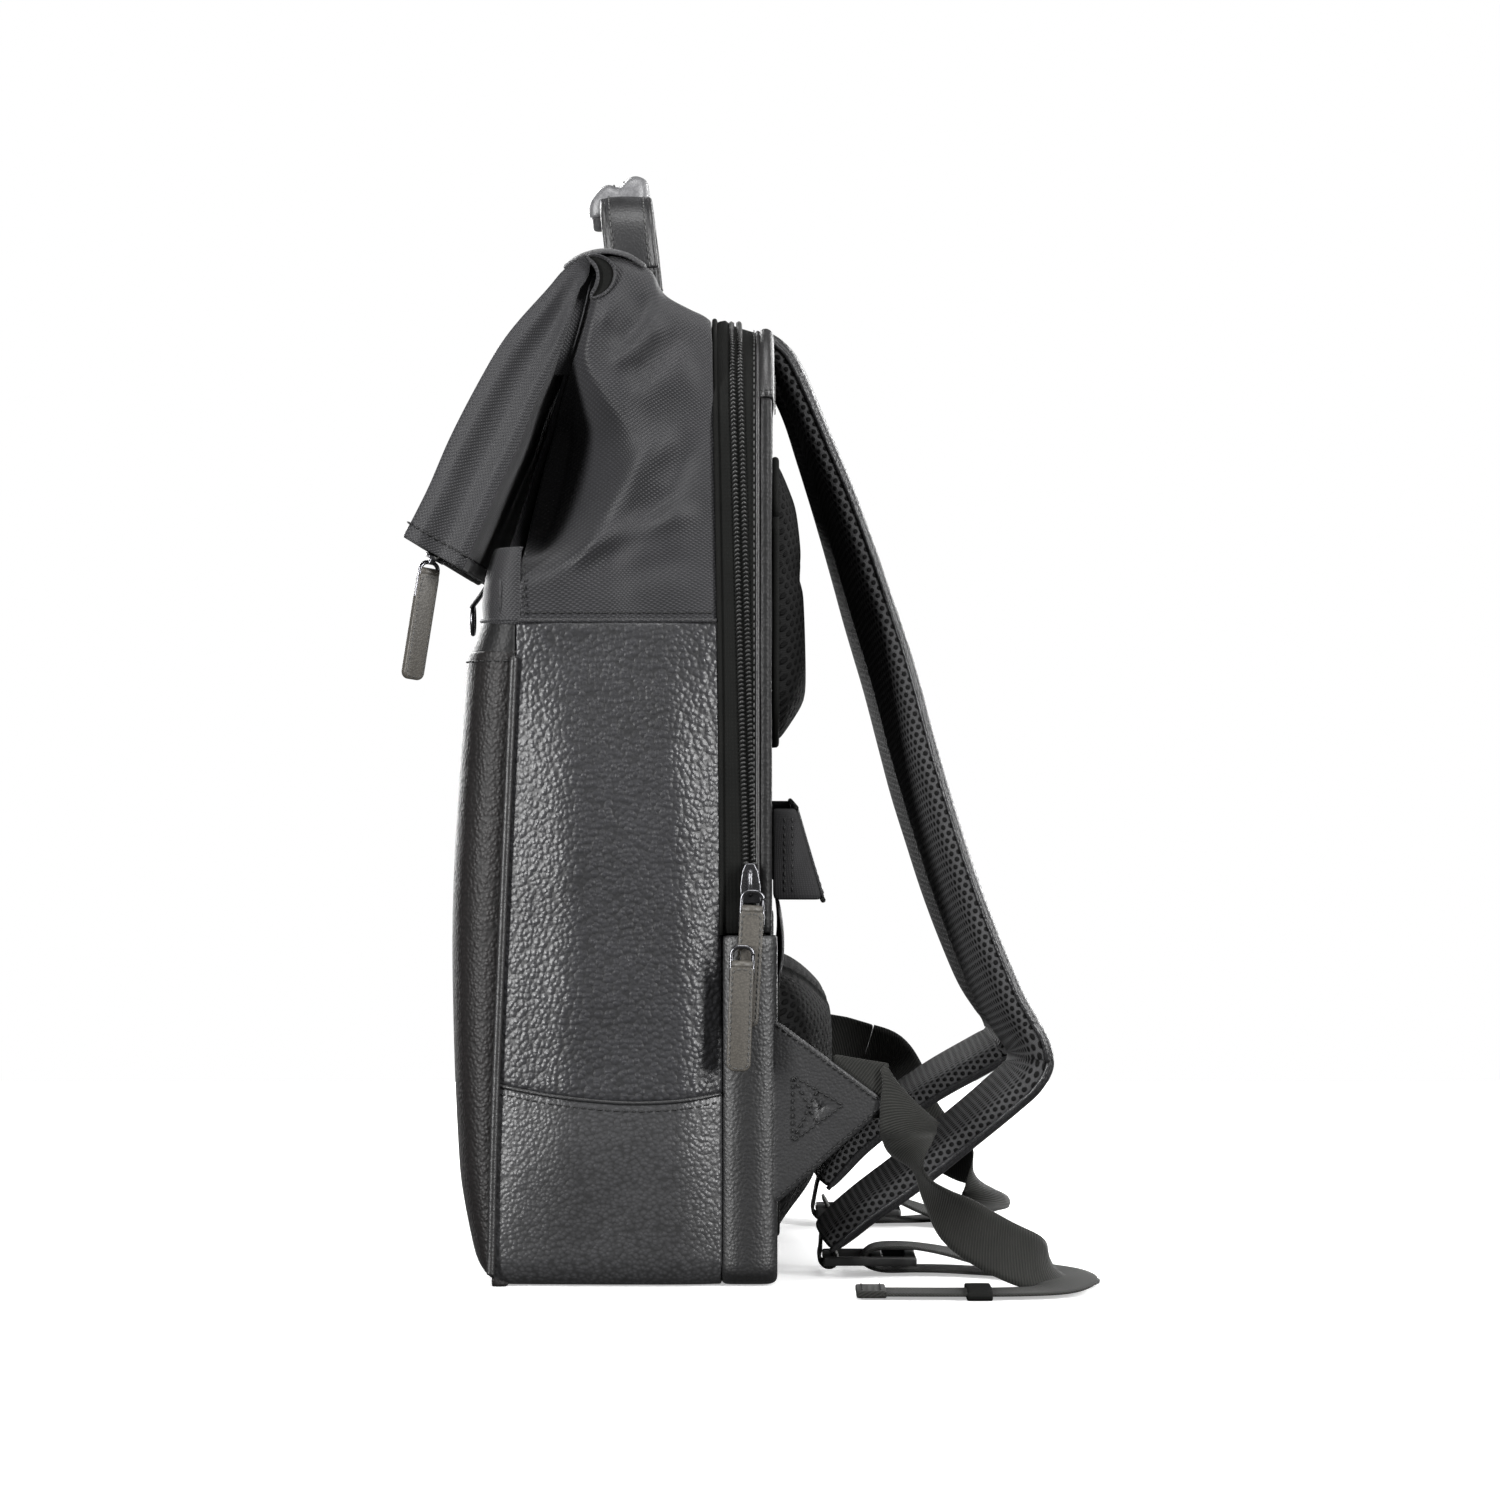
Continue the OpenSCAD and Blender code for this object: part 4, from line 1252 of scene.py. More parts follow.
def add_handle():
    path = smooth([(x, 2.8 - (z - 457) * HANDLE_LEAN, z + 1.8) for x, z in HANDLE_LINE], 6)
    across = [Vector((0, -1, 0))] * len(path)
    strap = band("handle_leather", path, across, 10.8, HANDLE_LEATHER, 3.4, 13, 0.8, 0.7)
    place(strap, "handle_body", "handle_leather", "handle")
    frames = frames_along(path, across)
    pieces, threads = [], []
    for way in (-1, 1):
        edge = [point + side * (way * 10.7) for point, _, side, _ in frames]
        pieces.append(tube("edge", edge, 1.5, EDGE_LEATHER))
    place(join("handle_binding", pieces), "handle_body", "leather_edge")
    for way in (-1, 1):
        for face in (1, -1):
            line = [point + side * (way * 8.0) + up * face * 2.1 for point, _, side, up in frames]
            facing = [up * face for _, _, _, up in frames]
            threads.append(stitches("row", line, facing, GREY_THREAD, 3.4, 2.5, 0.35))
    sew("handle_stitching", threads, "handle_body")
    add_wrap()


WRAP_Y = -4.6
WRAP_TILT = 0.33
WRAP_HALF = 30
WRAP_SAG = 0.0042


def add_wrap():
    """Two padded lobes of leather round the middle of the handle, with a slit between."""
    rows = []
    for x in spread(-WRAP_HALF, WRAP_HALF, 27):
        end = 1 - abs(x) / WRAP_HALF
        puff = min(1, 0.72 + 0.28 * math.sqrt(min(1, end / 0.12)))
        row = []
        rise = -WRAP_SAG * x * x + 3.4
        for a in circle(40):
            y = WRAP_Y + 14.0 * math.copysign(abs(math.cos(a)) ** 0.72, math.cos(a)) * puff
            top = math.sin(a) > 0
            height = (9.2 if top else 4.6) * abs(math.sin(a)) ** 0.62 * puff
            if top:
                height += 1.0 * math.exp(-((abs(y - WRAP_Y) - 7) / 3.6) ** 2)
                height -= 3.6 * math.exp(-((y - WRAP_Y) / 1.5) ** 2)
            height += 0.35 * wobble(x, y, 0 if top else 40, 8, 4.0)
            lean = (y - WRAP_Y) * WRAP_TILT
            row.append(Vector((x, y, 492.6 + rise + lean + (height if top else -height))))
        rows.append(row)
    wrap = grid("handle_wrap_pad", rows, WRAP_LEATHER, closed=True, caps=True, subdivide=1)
    place(wrap, "handle_body", "handle_wrap", "handle_wrap")
    threads = []
    for way in (-1, 1):
        y = way * 2.4
        line = [Vector((x, WRAP_Y + y, 504.4 + y * WRAP_TILT - WRAP_SAG * x * x))
                for x in spread(-25, 25, 30)]
        threads.append(stitches("row", line, [Vector((0, 0, 1))], GREY_THREAD, 3.2, 2.3, 0.32))
    sew("wrap_stitching", threads, "handle_body")


# ---------------------------------------------------------------- laptop compartment

LAPTOP_H = 424.0
ARCH_R = 46.0
FOOT_R = 10.0
ZIP_END_Z = 155.0
REAR_Y = 66.5


def over_middle(path, out, half, level, facing, step):
    """Runs an outline level to the middle and mirrors it to the left side."""
    across = int(2 * half / step / 2)
    for i in range(1, across + 1):
        path.append((mix(half, 0, i / across), level))
        out.append((0, facing))
    whole = path + [(-x, z) for x, z in reversed(path[:-1])]
    return whole, out + [(-x, z) for x, z in reversed(out[:-1])]


def arch(inset, low, high, step=6.0):
    """X-Z outline from (right, low) over the top to (left, low), with its outward directions."""
    x = HALF_W - inset
    top, r = high - inset, ARCH_R - inset
    path, out = [], []
    straight = max(int((top - r - low) / step), 0)
    for i in range(straight):
        path.append((x, mix(low, top - r, i / straight)))
        out.append((1, 0))
    first = math.asin(min(max((low - top + r) / r, 0), 1))
    for k in range(13):
        a = mix(first, math.pi / 2, k / 12)
        path.append((x - r + r * math.cos(a), top - r + r * math.sin(a)))
        out.append((math.cos(a), math.sin(a)))
    return over_middle(path, out, x - r, top, 1, step)


def foot_arch(inset, high, step=5.0):
    """X-Z outline from (right, high) down round the foot to (left, high)."""
    x, r = HALF_W - inset, FOOT_R
    path, out = [], []
    straight = int((high - r - inset) / step)
    for i in range(straight):
        path.append((x, mix(high, r + inset, i / straight)))
        out.append((1, 0))
    for k in range(9):
        a = -math.pi / 2 * k / 8
        path.append((x - r + r * math.cos(a), inset + r + r * math.sin(a)))
        out.append((math.cos(a), math.sin(a)))
    return over_middle(path, out, x - r, inset, -1, step)


def arch_sheet(name, outline, profile, material, thickness, slack=0.0, flip=False):
    """Sweeps a (depth, lift) profile round an outline; depth is Y and lift is outward."""
    path, out = outline
    rows = []
    for (x, z), (ox, oz) in zip(path, out):
        row = []
        for y, lift in profile:
            rise = lift + slack * wobble(x, y, z, 30, 5.5)
            row.append(Vector((x + ox * rise, y, z + oz * (rise if oz > -0.5 else min(rise, 0)))))
        rows.append(row[::-1] if flip else row)
    return grid(name, rows, material, thickness=thickness)


def lean_y(z):
    return 50.5 + (LAPTOP_H - z) * math.tan(math.radians(1.6))


def add_laptop_band():
    profile = [(44.5, -5.0), (44.4, -2.4), (45.2, -0.6), (47, 0.9), (50, 2.1), (54, 2.7),
               (58, 2.8), (62, 2.3), (65.6, 1.2), (68.2, -0.6), (69.4, -2.6), (69.4, -5.0)]
    foot = arch_sheet("laptop_band", foot_arch(0, ZIP_END_Z), profile, BAND_LEATHER, 2.0, 0.5,
                      flip=True)
    place(foot, "bag", "leather_black", "laptop_gusset")


def crown(y, oz):
    """How far the top of the zip's arch rises toward the bag's front."""
    rise = min(max((60 - y) / 16, 0), 1) - 0.5 * min(max((44 - y) / 4, 0), 1) ** 2
    return 7.0 * oz * abs(oz) * rise


def add_zip():
    path, out = arch(0.4, ZIP_END_Z, LAPTOP_H)

    def over_arch(y_at, lift):
        """A line over the arch at one depth, which may depend on the height."""
        line = []
        for (x, z), (ox, oz) in zip(path, out):
            y = y_at(z) if callable(y_at) else y_at
            line.append(Vector((x + ox * lift, y, z + oz * lift + crown(y, oz))))
        return line

    rows = []
    for (x, z), (ox, oz) in zip(path, out):
        middle = lean_y(z)
        row = []
        front = seam_y(z) - 0.8
        for y, lift in ((front, -0.9), (front + 1.4, 0.4), (46.6, 0.7), (middle - 4.2, 0.0),
                        (middle - 1.6, -0.5), (middle + 1.6, -0.5), (middle + 4.2, 0.0),
                        (60.0, 0.6), (61.4, 0.3)):
            row.append(Vector((x + ox * lift, y, z + oz * lift + crown(y, oz))))
        rows.append(row)
    place(grid("zip_tape_fabric", rows, TAPE, thickness=1.2), "bag", "zip_tape", "zip_tape")
    outs = [Vector((ox, 0, oz)) for ox, oz in out]
    line = over_arch(lean_y, 0.6)
    teeth = coil_teeth("zip_teeth", line, outs, [Vector((0, 1, 0))] * len(line))
    place(teeth, "bag", "zip_coil", "zip_chain")
    cords = [tube("cord", over_arch(lambda z: seam_y(z) + 0.8, 0.6), 1.2, TAPE),
             tube("cord", over_arch(60.6, 0.6), 1.0, EDGE_LEATHER)]
    place(join("zip_piping", cords), "bag", "coated_fabric")
    row = stitches("zip_stitching", over_arch(59.0, 1.0), outs, GREY_THREAD, 3.2, 2.3, 0.28)
    place(row, "bag", "webbing")
    middle = lean_y(157)
    stops = [((x - 0.7, middle - 3.6, 152.6), (x + 0.7, middle + 3.6, 155.6))
             for x in (150.4, -150.4)]
    place(boxes("zip_stop", stops, TAPE, 0.5), "bag", "zip_tape")


def add_back_edge():
    profile = [(60.8, -1.4), (61.2, -0.2), (63, 0.9), (65, 0.9), (66.6, -0.3), (67, -2.4)]
    low = arch(0, ZIP_END_Z + 0.5, LAPTOP_H)
    edge = arch_sheet("back_edge_leather", low, profile, REAR_LEATHER, 1.8, 0.3)
    place(edge, "bag", "leather_edge", "back_edge")
    path, out = arch(0, 391, LAPTOP_H)
    cap_profile = [(60.6, -1.0), (61.2, 0.8), (63, 2.3), (65.4, 2.3), (67.4, 0.6), (68.0, -2.0),
                   (68.0, -8), (67.9, -22)]
    rows = []
    for (x, z), (ox, oz) in zip(path, out):
        rows.append([Vector((x + ox * lift, y, z + oz * lift)) for y, lift in cap_profile])
    cap = grid("back_cap_leather", rows, EDGE_LEATHER, thickness=1.6)
    place(cap, "bag", "leather_edge", "back_cap")
    threads = []
    for inset in (19.0, 21.0):
        seam = [Vector((x - ox * inset, 68.1, z - oz * inset))
                for (x, z), (ox, oz) in zip(path, out)]
        threads.append(stitches("row", seam, [Vector((0, 1, 0))], GREY_THREAD, 3.4, 2.5, 0.32))
    for side in (1, -1):
        for z in (392.6, 394.6):
            seam = [Vector((side * (HALF_W + lift), y, z)) for y, lift in cap_profile[1:5]]
            threads.append(stitches("row", seam, [Vector((side, 0, 0))], THREAD, 2.4, 1.8, 0.3))
    sew("cap_stitching", threads)


def add_back_panel():
    rows = []
    for z in spread(3, LAPTOP_H - 3, 60):
        corner = max(0, z - (LAPTOP_H - 3 - 43))
        half = HALF_W - 2.7 - (43 - math.sqrt(max(43 ** 2 - corner ** 2, 0)))
        row = []
        for x in spread(-half, half, 35):
            slack = 0.5 * wobble(x, 0, z, 40, 9.2)
            row.append(Vector((x, REAR_Y + 0.4 + slack * ramp(half - abs(x), 0, 12), z)))
        rows.append(row)
    panel = grid("back_fabric_panel", rows, BACK_FABRIC, thickness=1.4, offset=1)
    place(panel, "bag", "back_fabric", "back_panel")


PILLOW_BASE_Y = 67.4
PILLOW_RINGS = 12
PILLOW_EDGE = 1.2


def pillow(name, outline, depth, groove):
    """A crowned pad on the back; outline is a closed list of (x, z)."""
    cx = sum(p[0] for p in outline) / len(outline)
    cz = sum(p[1] for p in outline) / len(outline)
    rows = [[Vector((x, PILLOW_BASE_Y, z)) for x, z in outline]]
    for k in range(PILLOW_RINGS + 1):
        share = (k / PILLOW_RINGS) ** 1.4
        row = []
        for x, z in outline:
            px, pz = mix(x, cx, share), mix(z, cz, share)
            rise = mix(PILLOW_EDGE, depth(pz), math.sqrt(min(1, share * 3.2))) - groove(px, pz)
            rise += 0.4 * wobble(px, 4, pz, 26, 7.0) * min(1, share * 4)
            row.append(Vector((px, PILLOW_BASE_Y + rise, pz)))
        rows.append(row)
    return grid(name, rows, MESH, closed=True)


def rounded_outline(low_x, high_x, low_z, high_z, radius, steps=8, side_steps=10):
    """Closed outline of a rounded rectangle, with points along its straight sides too."""
    points = []
    corners = [(high_x - radius, high_z - radius, 0), (low_x + radius, high_z - radius, 90),
               (low_x + radius, low_z + radius, 180), (high_x - radius, low_z + radius, 270)]
    for i, (x, z, turn) in enumerate(corners):
        for k in range(steps + 1):
            a = math.radians(turn + 90 * k / steps)
            points.append((x + radius * math.cos(a), z + radius * math.sin(a)))
        nx, nz, _ = corners[(i + 1) % 4]
        a = math.radians(turn + 90)
        end = (nx + radius * math.cos(a), nz + radius * math.sin(a))
        start = points[-1]
        for k in range(1, side_steps):
            share = k / side_steps
            points.append((mix(start[0], end[0], share), mix(start[1], end[1], share)))
    return points


def flat_uv(obj):
    """Lays the weave of a back pad in its X-Z plane."""
    mesh = obj.data
    layer = mesh.uv_layers.active
    for loop in mesh.loops:
        point = mesh.vertices[loop.vertex_index].co
        layer.data[loop.index].uv = (point.x, point.z - 0.6 * point.y)


def add_pads():
    upper_depth = table([(240, 9), (250, 13.2), (263, 15.6), (302, 14.6), (346, 11.5), (366, 7)])
    for side, label in SIDES:
        low, high = sorted((side * 8, side * 128))
        pad = pillow("shoulder_pad_" + label, rounded_outline(low, high, 240, 366, 26),
                     lambda z: upper_depth(z) - 0.6,
                     lambda x, z: 2.4 * math.exp(-(((z - 303) - 0.12 * abs(x)) / 4) ** 2))
        flat_uv(pad)
        place(pad, "bag", "air_mesh", "upper_pad_" + label)
        rim = [Vector((x, 68.6, z)) for x, z in rounded_outline(low - 1, high + 1, 239, 367, 27)]
        place(tube("pad_binding_" + label, rim + rim[:1], 1.7, TAPE), "bag", "back_fabric")
    lumbar_depth = table([(20, 6), (42, 20), (75, 27), (110, 28.4), (130, 25.5), (136, 18)])
    pad = pillow("lumbar_mesh_pad", rounded_outline(-126, 126, 20, 136.5, 20),
                 lambda z: lumbar_depth(z) - 0.8,
                 lambda x, z: (4.5 * math.exp(-(x / 9) ** 2)
                               + 2.2 * math.exp(-((abs(x) - 66) / 5) ** 2)))
    flat_uv(pad)
    place(pad, "bag", "air_mesh", "lumbar_pad")
    rim = [Vector((x, 68.8, z)) for x, z in rounded_outline(-127, 127, 19, 137, 21)]
    place(tube("lumbar_binding", rim + rim[:1], 1.8, TAPE), "bag", "back_fabric")


def add_back_details():
    rows = []
    for z in spread(137, 168, 8):
        bow = 2.2 * math.sin(math.pi * (z - 137) / 31)
        row = []
        for x in spread(-132, 132, 45):
            dip = 5 * (x / 132) ** 2 * (168 - z) / 31
            row.append(Vector((x, 68.6 + bow + 0.3 * wobble(x, 1, z, 20, 1.1), z - dip)))
        rows.append(row)
    panel = grid("back_leather_panel", rows, BAND_LEATHER, thickness=1.8)
    place(panel, "bag", "leather_black", "binding_panel")
    threads = []
    for z, dip in ((165.4, 0), (162.8, 0), (140.5, 5)):
        line = [Vector((x, 70.0, z - dip * (x / 132) ** 2)) for x in spread(-129, 129, 90)]
        threads.append(stitches("row", line, [Vector((0, 1, 0))], GREY_THREAD, 3.6, 2.6, 0.36))
    rows = []
    for s in spread(0, 1, 12):
        y, z = mix(77.6, 89.6, s), mix(210.6, 169.8, s)
        row = []
        for x in spread(-140.6, 140.6, 61):
            give = 1.2 * math.cos(x / 282 * math.pi) + 0.4 * wobble(x, 2, z, 30, 2.0)
            row.append(Vector((x, y + give * 0.6, z + give * 0.2)))
        rows.append(row)
    face = grid("luggage_face", rows, BACK_FABRIC, thickness=1.8, offset=0)
    ends = []
    for side in (1, -1):
        rows = []
        for s in spread(0, 1, 9):
            z = mix(210.6, 169.9, s)
            reach = mix(77.6, 89.4, s)
            rows.append([Vector((side * (140.4 + 0.9 * math.sin(math.pi * v)),
                                 mix(67.2, reach, v), z)) for v in spread(0, 1, 8)])
        ends.append(grid("luggage_end", rows, BACK_FABRIC, thickness=1.6, offset=0))
        for x_in in (3.4, 6.2):
            line = [Vector((side * (141 - x_in), mix(78.2, 89.8, s), mix(208, 172, s)))
                    for s in spread(0, 1, 10)]
            threads.append(stitches("row", line, [Vector((0, 0.96, 0.28))], THREAD, 3.2, 2.3, 0.34))
        for y_in in (4.5, 8.0):
            line = [Vector((side * 141.9, 68 + y_in, z)) for z in spread(207, 173, 10)]
            threads.append(stitches("row", line, [Vector((side, 0, 0))], THREAD, 3.2, 2.3, 0.34))
    for edge_z, edge_y in ((210.6, 77.6), (169.9, 89.5)):
        hem = [Vector((x, edge_y, edge_z)) for x in spread(-140.4, 140.4, 30)]
        ends.append(tube("hem", hem, 1.2, TAPE))
    place(join("luggage_band", [face] + ends), "bag", "back_fabric", "luggage_strap")
    sew("back_stitching", threads)


def add_tabs():
    """Triangular leather tabs with an edge row and a stitched triangle."""
    corners = [(66.5, 119.5), (119, 80.5), (66.5, 34)]
    cy, cz = 88.0, 79.0
    for side, label in SIDES:
        outline = []
        for (ay, az), (by, bz) in zip(corners, corners[1:] + corners[:1]):
            for s in spread(0.045, 0.955, 12):
                outline.append((mix(ay, by, s), mix(az, bz, s)))
        rows = []
        for share in (1.0, 0.985, 0.95, 0.85, 0.6, 0.3, 0.0):
            lift = {1.0: 0.2, 0.985: 0.9, 0.95: 1.3}.get(share, 1.5)
            rows.append([Vector((side * (HALF_W - 1.6 + lift + 0.3 * wobble(y, 5, z, 16, side)),
                                 mix(cy, y, share), mix(cz, z, share))) for y, z in outline])
        if side > 0:
            rows = [row[::-1] for row in rows]
        face = grid("tab_face_" + label, rows, TAB_LEATHER, thickness=2.6, closed=True)
        place(face, "bag", "leather_black", "tab_" + label)
        threads = []
        out = [Vector((side, 0, 0))]

        def row_of(points):
            line = [Vector((side * (HALF_W + 0.15), y, z)) for y, z in points]
            threads.append(stitches("row", line, out, THREAD, 3.0, 2.2, 0.42))

        inner = [(mix(cy, y, 0.9), mix(cz, z, 0.9)) for y, z in corners]
        row_of([inner[0], inner[1]])
        row_of([inner[1], inner[2]])
        box = [(76, 93), (98, 80), (76, 64)]
        for a, b in zip(box, box[1:] + box[:1]):
            row_of([a, b])
        row_of([(76, 93), (87, 72)])
        row_of([(76, 64), (87, 86.5)])
        sew("tab_stitching_" + label, threads)


# ---------------------------------------------------------------- shoulder straps and webbing

STRAP_START = [(50, 64.5, 421.5), (51, 69.5, 417.5)]
STRAP_TOP = [
    (52, 74.5, 411), (54, 80.5, 398), (57, 88, 377), (63, 100.5, 341), (69, 112, 304),
    (74, 122, 272), (79, 131, 238), (83, 139, 210), (87, 149, 178), (91, 160, 148),
    (94, 170, 124), (95, 178.5, 110), (96, 182.6, 103), (96, 183.8, 96.5), (97, 181, 90)]
STRAP_FOOT = {
    "right": [(97, 174, 83), (98, 151, 64), (99, 127, 45), (99, 107, 30), (99, 90, 15.5)],
    "left": [(97, 174, 86), (98, 151, 73), (99, 127, 57), (99, 107, 40), (99, 92, 22)]}
STRAP_SIDES = [(1, 0, 0)] * 4 + [(1, 0.04, 0), (1, 0.1, 0.04), (1, 0.14, 0.06)] + [
    (1, 0.16, 0.06)] * 6 + [
    (1, 0.16, 0.04), (1, 0.16, 0), (1, 0.15, -0.04), (1, 0.13, -0.08), (1, 0.11, -0.11),
    (1, 0.1, -0.12), (1, 0.1, -0.12), (1, 0.1, -0.1), (1, 0.1, -0.1)]
STRAP_HALF = 31.0
STRAP_TAPER_FROM, STRAP_TAPER = 12, 1.3
STEPS = 6
SIGN = {"right": 1, "left": -1}



def both_ways(half):
    """A profile of (share of the half width, height) points, from one mirrored at 0."""
    return half + [(-s, lift) for s, lift in reversed(half[:-1])]


LEATHER_PROFILE = both_ways([(-1.0, 2.2), (-1.015, 3.2), (-0.985, 4.6), (-0.93, 5.5),
                             (-0.83, 6.1), (-0.6, 6.6), (-0.3, 6.9), (0, 7.0)])
MESH_PROFILE = both_ways([(-0.96, 4.0), (-1.0, 2.2), (-1.01, -0.6), (-0.995, -2.4), (-0.95, -4.0),
                          (-0.87, -5.4), (-0.6, -6.3), (-0.3, -6.7), (0, -6.8)])
MESH_PROFILE += [(0.5, 4.6), (0, 4.8), (-0.5, 4.6)]


def mirror_x(point, side):
    return Vector((point[0] * side, point[1], point[2]))


def strap_frames(label):
    """Path frames of a strap and its half width at each."""
    side = SIGN[label]
    points = [mirror_x(p, side) for p in STRAP_START + STRAP_TOP + STRAP_FOOT[label]]
    halves = []
    for i in range(len(points)):
        narrow = max(0, i - STRAP_TAPER_FROM) * STRAP_TAPER
        halves.append(Vector(((STRAP_HALF - narrow) * (0.9 if i < 1 else 1), 0, 0)))
    frames = frames_along(smooth(points, STEPS), smooth(STRAP_SIDES, STEPS))
    return frames, [h.x for h in smooth(halves, STEPS)]


def strap_sheet(name, frames, halves, profile, material, thickness=0, closed=False):
    rows = []
    last = len(frames) - 1
    for i, ((point, _, side, up), half) in enumerate(zip(frames, halves)):
        end = min(1, 0.55 + 0.45 * math.sqrt(min(i, last - i, 4) / 4))
        row = []
        for s, lift in profile:
            slack = 0.35 * wobble(point.x + s * half, point.y, point.z, 26, 4.9)
            row.append(point + side * (s * half) + up * (lift * end + slack))
        rows.append(row)
    return grid(name, rows, material, thickness=thickness, offset=-1, closed=closed, caps=closed)


def bend_strap(obj, label, slot, *nodes):
    """Bakes the strap piece's placement into its mesh and hides the CAD nodes it stands for; label
    and slot are not used.
    """
    if nodes:
        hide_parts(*nodes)
    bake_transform(obj)


def add_strap(label):
    body = "strap_%s_body" % label
    frames, halves = strap_frames(label)
    shell = strap_sheet("strap_shell_" + label, frames, halves, LEATHER_PROFILE, STRAP_LEATHER, 1.6)
    bend_strap(shell, label, "strap_leather", "strap_leather_" + label)
    pad = strap_sheet("strap_pad_" + label, frames, halves, MESH_PROFILE, STRAP_MESH, closed=True)
    bend_strap(pad, label, "air_mesh", "strap_mesh_" + label, "strap_foam_" + label)
    cords, threads = [], []
    for way in (-1, 1):
        edge = [p + s * (way * h * 1.01) + u * 2.0
                for (p, _, s, u), h in zip(frames, halves)]
        cords.append(tube("edge", edge, 1.2, STRAP_LEATHER, sides=12))
        line = [p + s * (way * (h - 4.6)) + u * 5.4
                for (p, _, s, u), h in zip(frames, halves)][3:-3]
        facing = [u for _, _, _, u in frames][3:-3]
        threads.append(stitches("row", line, facing, THREAD, 3.6, 2.7, 0.3))
    bend_strap(join("strap_edges_" + label, cords), label, "strap_leather")
    bend_strap(join("strap_stitching_" + label, threads), label, "webbing")
    add_lock(label, body, frames[-1][0])


def add_lock(label, body, strap_end):
    side = SIGN[label]
    x = side * 99
    rails = [((x + dx - 2, 90, 5), (x + dx + 2, 132, 9)) for dx in (-15.5, 15.5)]
    bars = [((x - 14, y, 5.3), (x + 14, y + 5, 8.7)) for y in (90, 112, 127)]
    lock = boxes("ladder_lock_body_" + label, rails + bars, PLASTIC, 1.1)
    place(lock, body, "black_plastic", "ladder_lock_" + label)
    loop = smooth([strap_end + Vector((0, 3, 4.5)), strap_end + Vector((0, -0.5, 1.5)),
                   (x, 89.0, 12.0), (x, 88.4, 7.0), (x, 91.0, 3.9), (x, 94.6, 3.9), (x, 96.6, 7.0),
                   (x, 95.2, 10.6), (x, 93.5, 13.5)], 5)
    across = [Vector((side, 0, 0))] * len(loop)
    fold = band("lock_loop_" + label, loop, across, 12.2, WEBBING, 1.5, 9)
    place(fold, body, "webbing")


WEB_HALF = 12.5
WEB_T = 1.6
WEB_ROUTES = {
    "right": [
        (147.2, 117, 86), (148, 124, 85.5), (150.4, 128, 82), (152.2, 127, 75), (153, 127, 64),
        (154, 131, 52), (154, 139, 40), (155, 151, 28), (156, 165, 19), (156, 179, 12.5),
        (154, 190, 7.5), (147, 198, 3.6), (135, 199, 1.8), (123, 192, 1.4), (112, 178, 1.4),
        (104, 160, 1.6), (100, 145, 1.9), (99, 132, 2), (99, 116, 2.1), (99, 108, 6),
        (99, 113, 11.6), (99, 128, 12.4), (101, 146, 10), (108, 164, 6.5), (120, 181, 5.4),
        (138, 193, 5.4), (158, 197, 4.4), (174, 190, 2.2), (181, 172, 1.9), (182, 142, 1.9),
        (181, 104, 1.9)],
    "left": [
        (-148, 117, 84), (-150, 127, 80), (-151, 134, 70), (-151, 139, 56), (-151, 147, 43),
        (-150, 156, 34), (-147, 166, 25), (-141, 174, 16), (-133, 177, 9), (-124, 171, 4.4),
        (-115, 160, 2.2), (-107, 149, 1.9), (-101, 139, 1.9), (-99, 130, 2), (-99, 116, 2.1),
        (-99, 108, 6), (-99, 113, 11.6), (-99, 128, 12.4), (-95, 145, 7), (-88, 162, 1.6)]}
WEB_SIDES = {
    "right": [
        (0, 0, 1), (0, 0, 1), (0, -0.7, 0.7), (0, -1, 0), (-0.5, -0.85, -0.1),
        (-0.98, -0.15, -0.1), (-0.85, -0.35, -0.35), (-0.3, -0.6, -0.75), (0, -0.6, -0.8),
        (0.3, -0.4, -0.8),
        (0.8, 0.1, -0.5), (0.7, 0.8, -0.1), (0, 1, 0), (-0.5, 0.8, 0), (-0.9, 0.5, 0),
        (-1, 0.3, 0), (-1, 0.1, 0), (-1, 0, 0), (-1, 0, 0), (-1, 0, 0),
        (-1, 0, 0), (-1, 0, 0), (-1, 0.2, 0), (-1, 0.5, 0), (-0.8, 0.8, 0),
        (-0.3, 1, 0), (0.2, 1, 0), (0.8, 0.6, 0), (1, 0.2, 0), (1, 0, 0),
        (1, 0, 0)],
    "left": [
        (0, 0, 1), (0, 0.4, 0.9), (0, 0.8, 0.5), (0, 1, 0.3), (0, 0.8, 0.6),
        (0.2, 0.5, 0.8), (0.5, 0.2, 0.7), (0.6, -0.5, 0.35), (0.1, -0.9, 0.1), (-0.7, -0.7, 0),
        (-0.8, -0.6, 0), (-0.85, -0.5, 0), (-0.95, -0.3, 0), (-1, 0, 0), (-1, 0, 0),
        (-1, 0, 0), (-1, 0, 0), (-1, 0, 0), (-1, 0.3, 0), (-1, 0.4, 0)]}


CREASE_FRAMES = range(23)
CREASE_AT, CREASE_END = 10, 22


def crease_frames(path):
    """The first rings of the right webbing, folded over a diagonal crease below the tab."""
    out = []
    for i in CREASE_FRAMES:
        before, after = min(i / CREASE_AT, 1), max(i - CREASE_AT, 0) / (CREASE_END - CREASE_AT)
        side = Vector((0, -WEB_HALF * before, WEB_HALF * (1 - after)))
        up = Vector((-1, 0, 0)).lerp(Vector((0, 0.7, 0.7)), before).lerp(Vector((1, 0, 0)), after)
        out.append((path[i], side, up.normalized()))
    return out


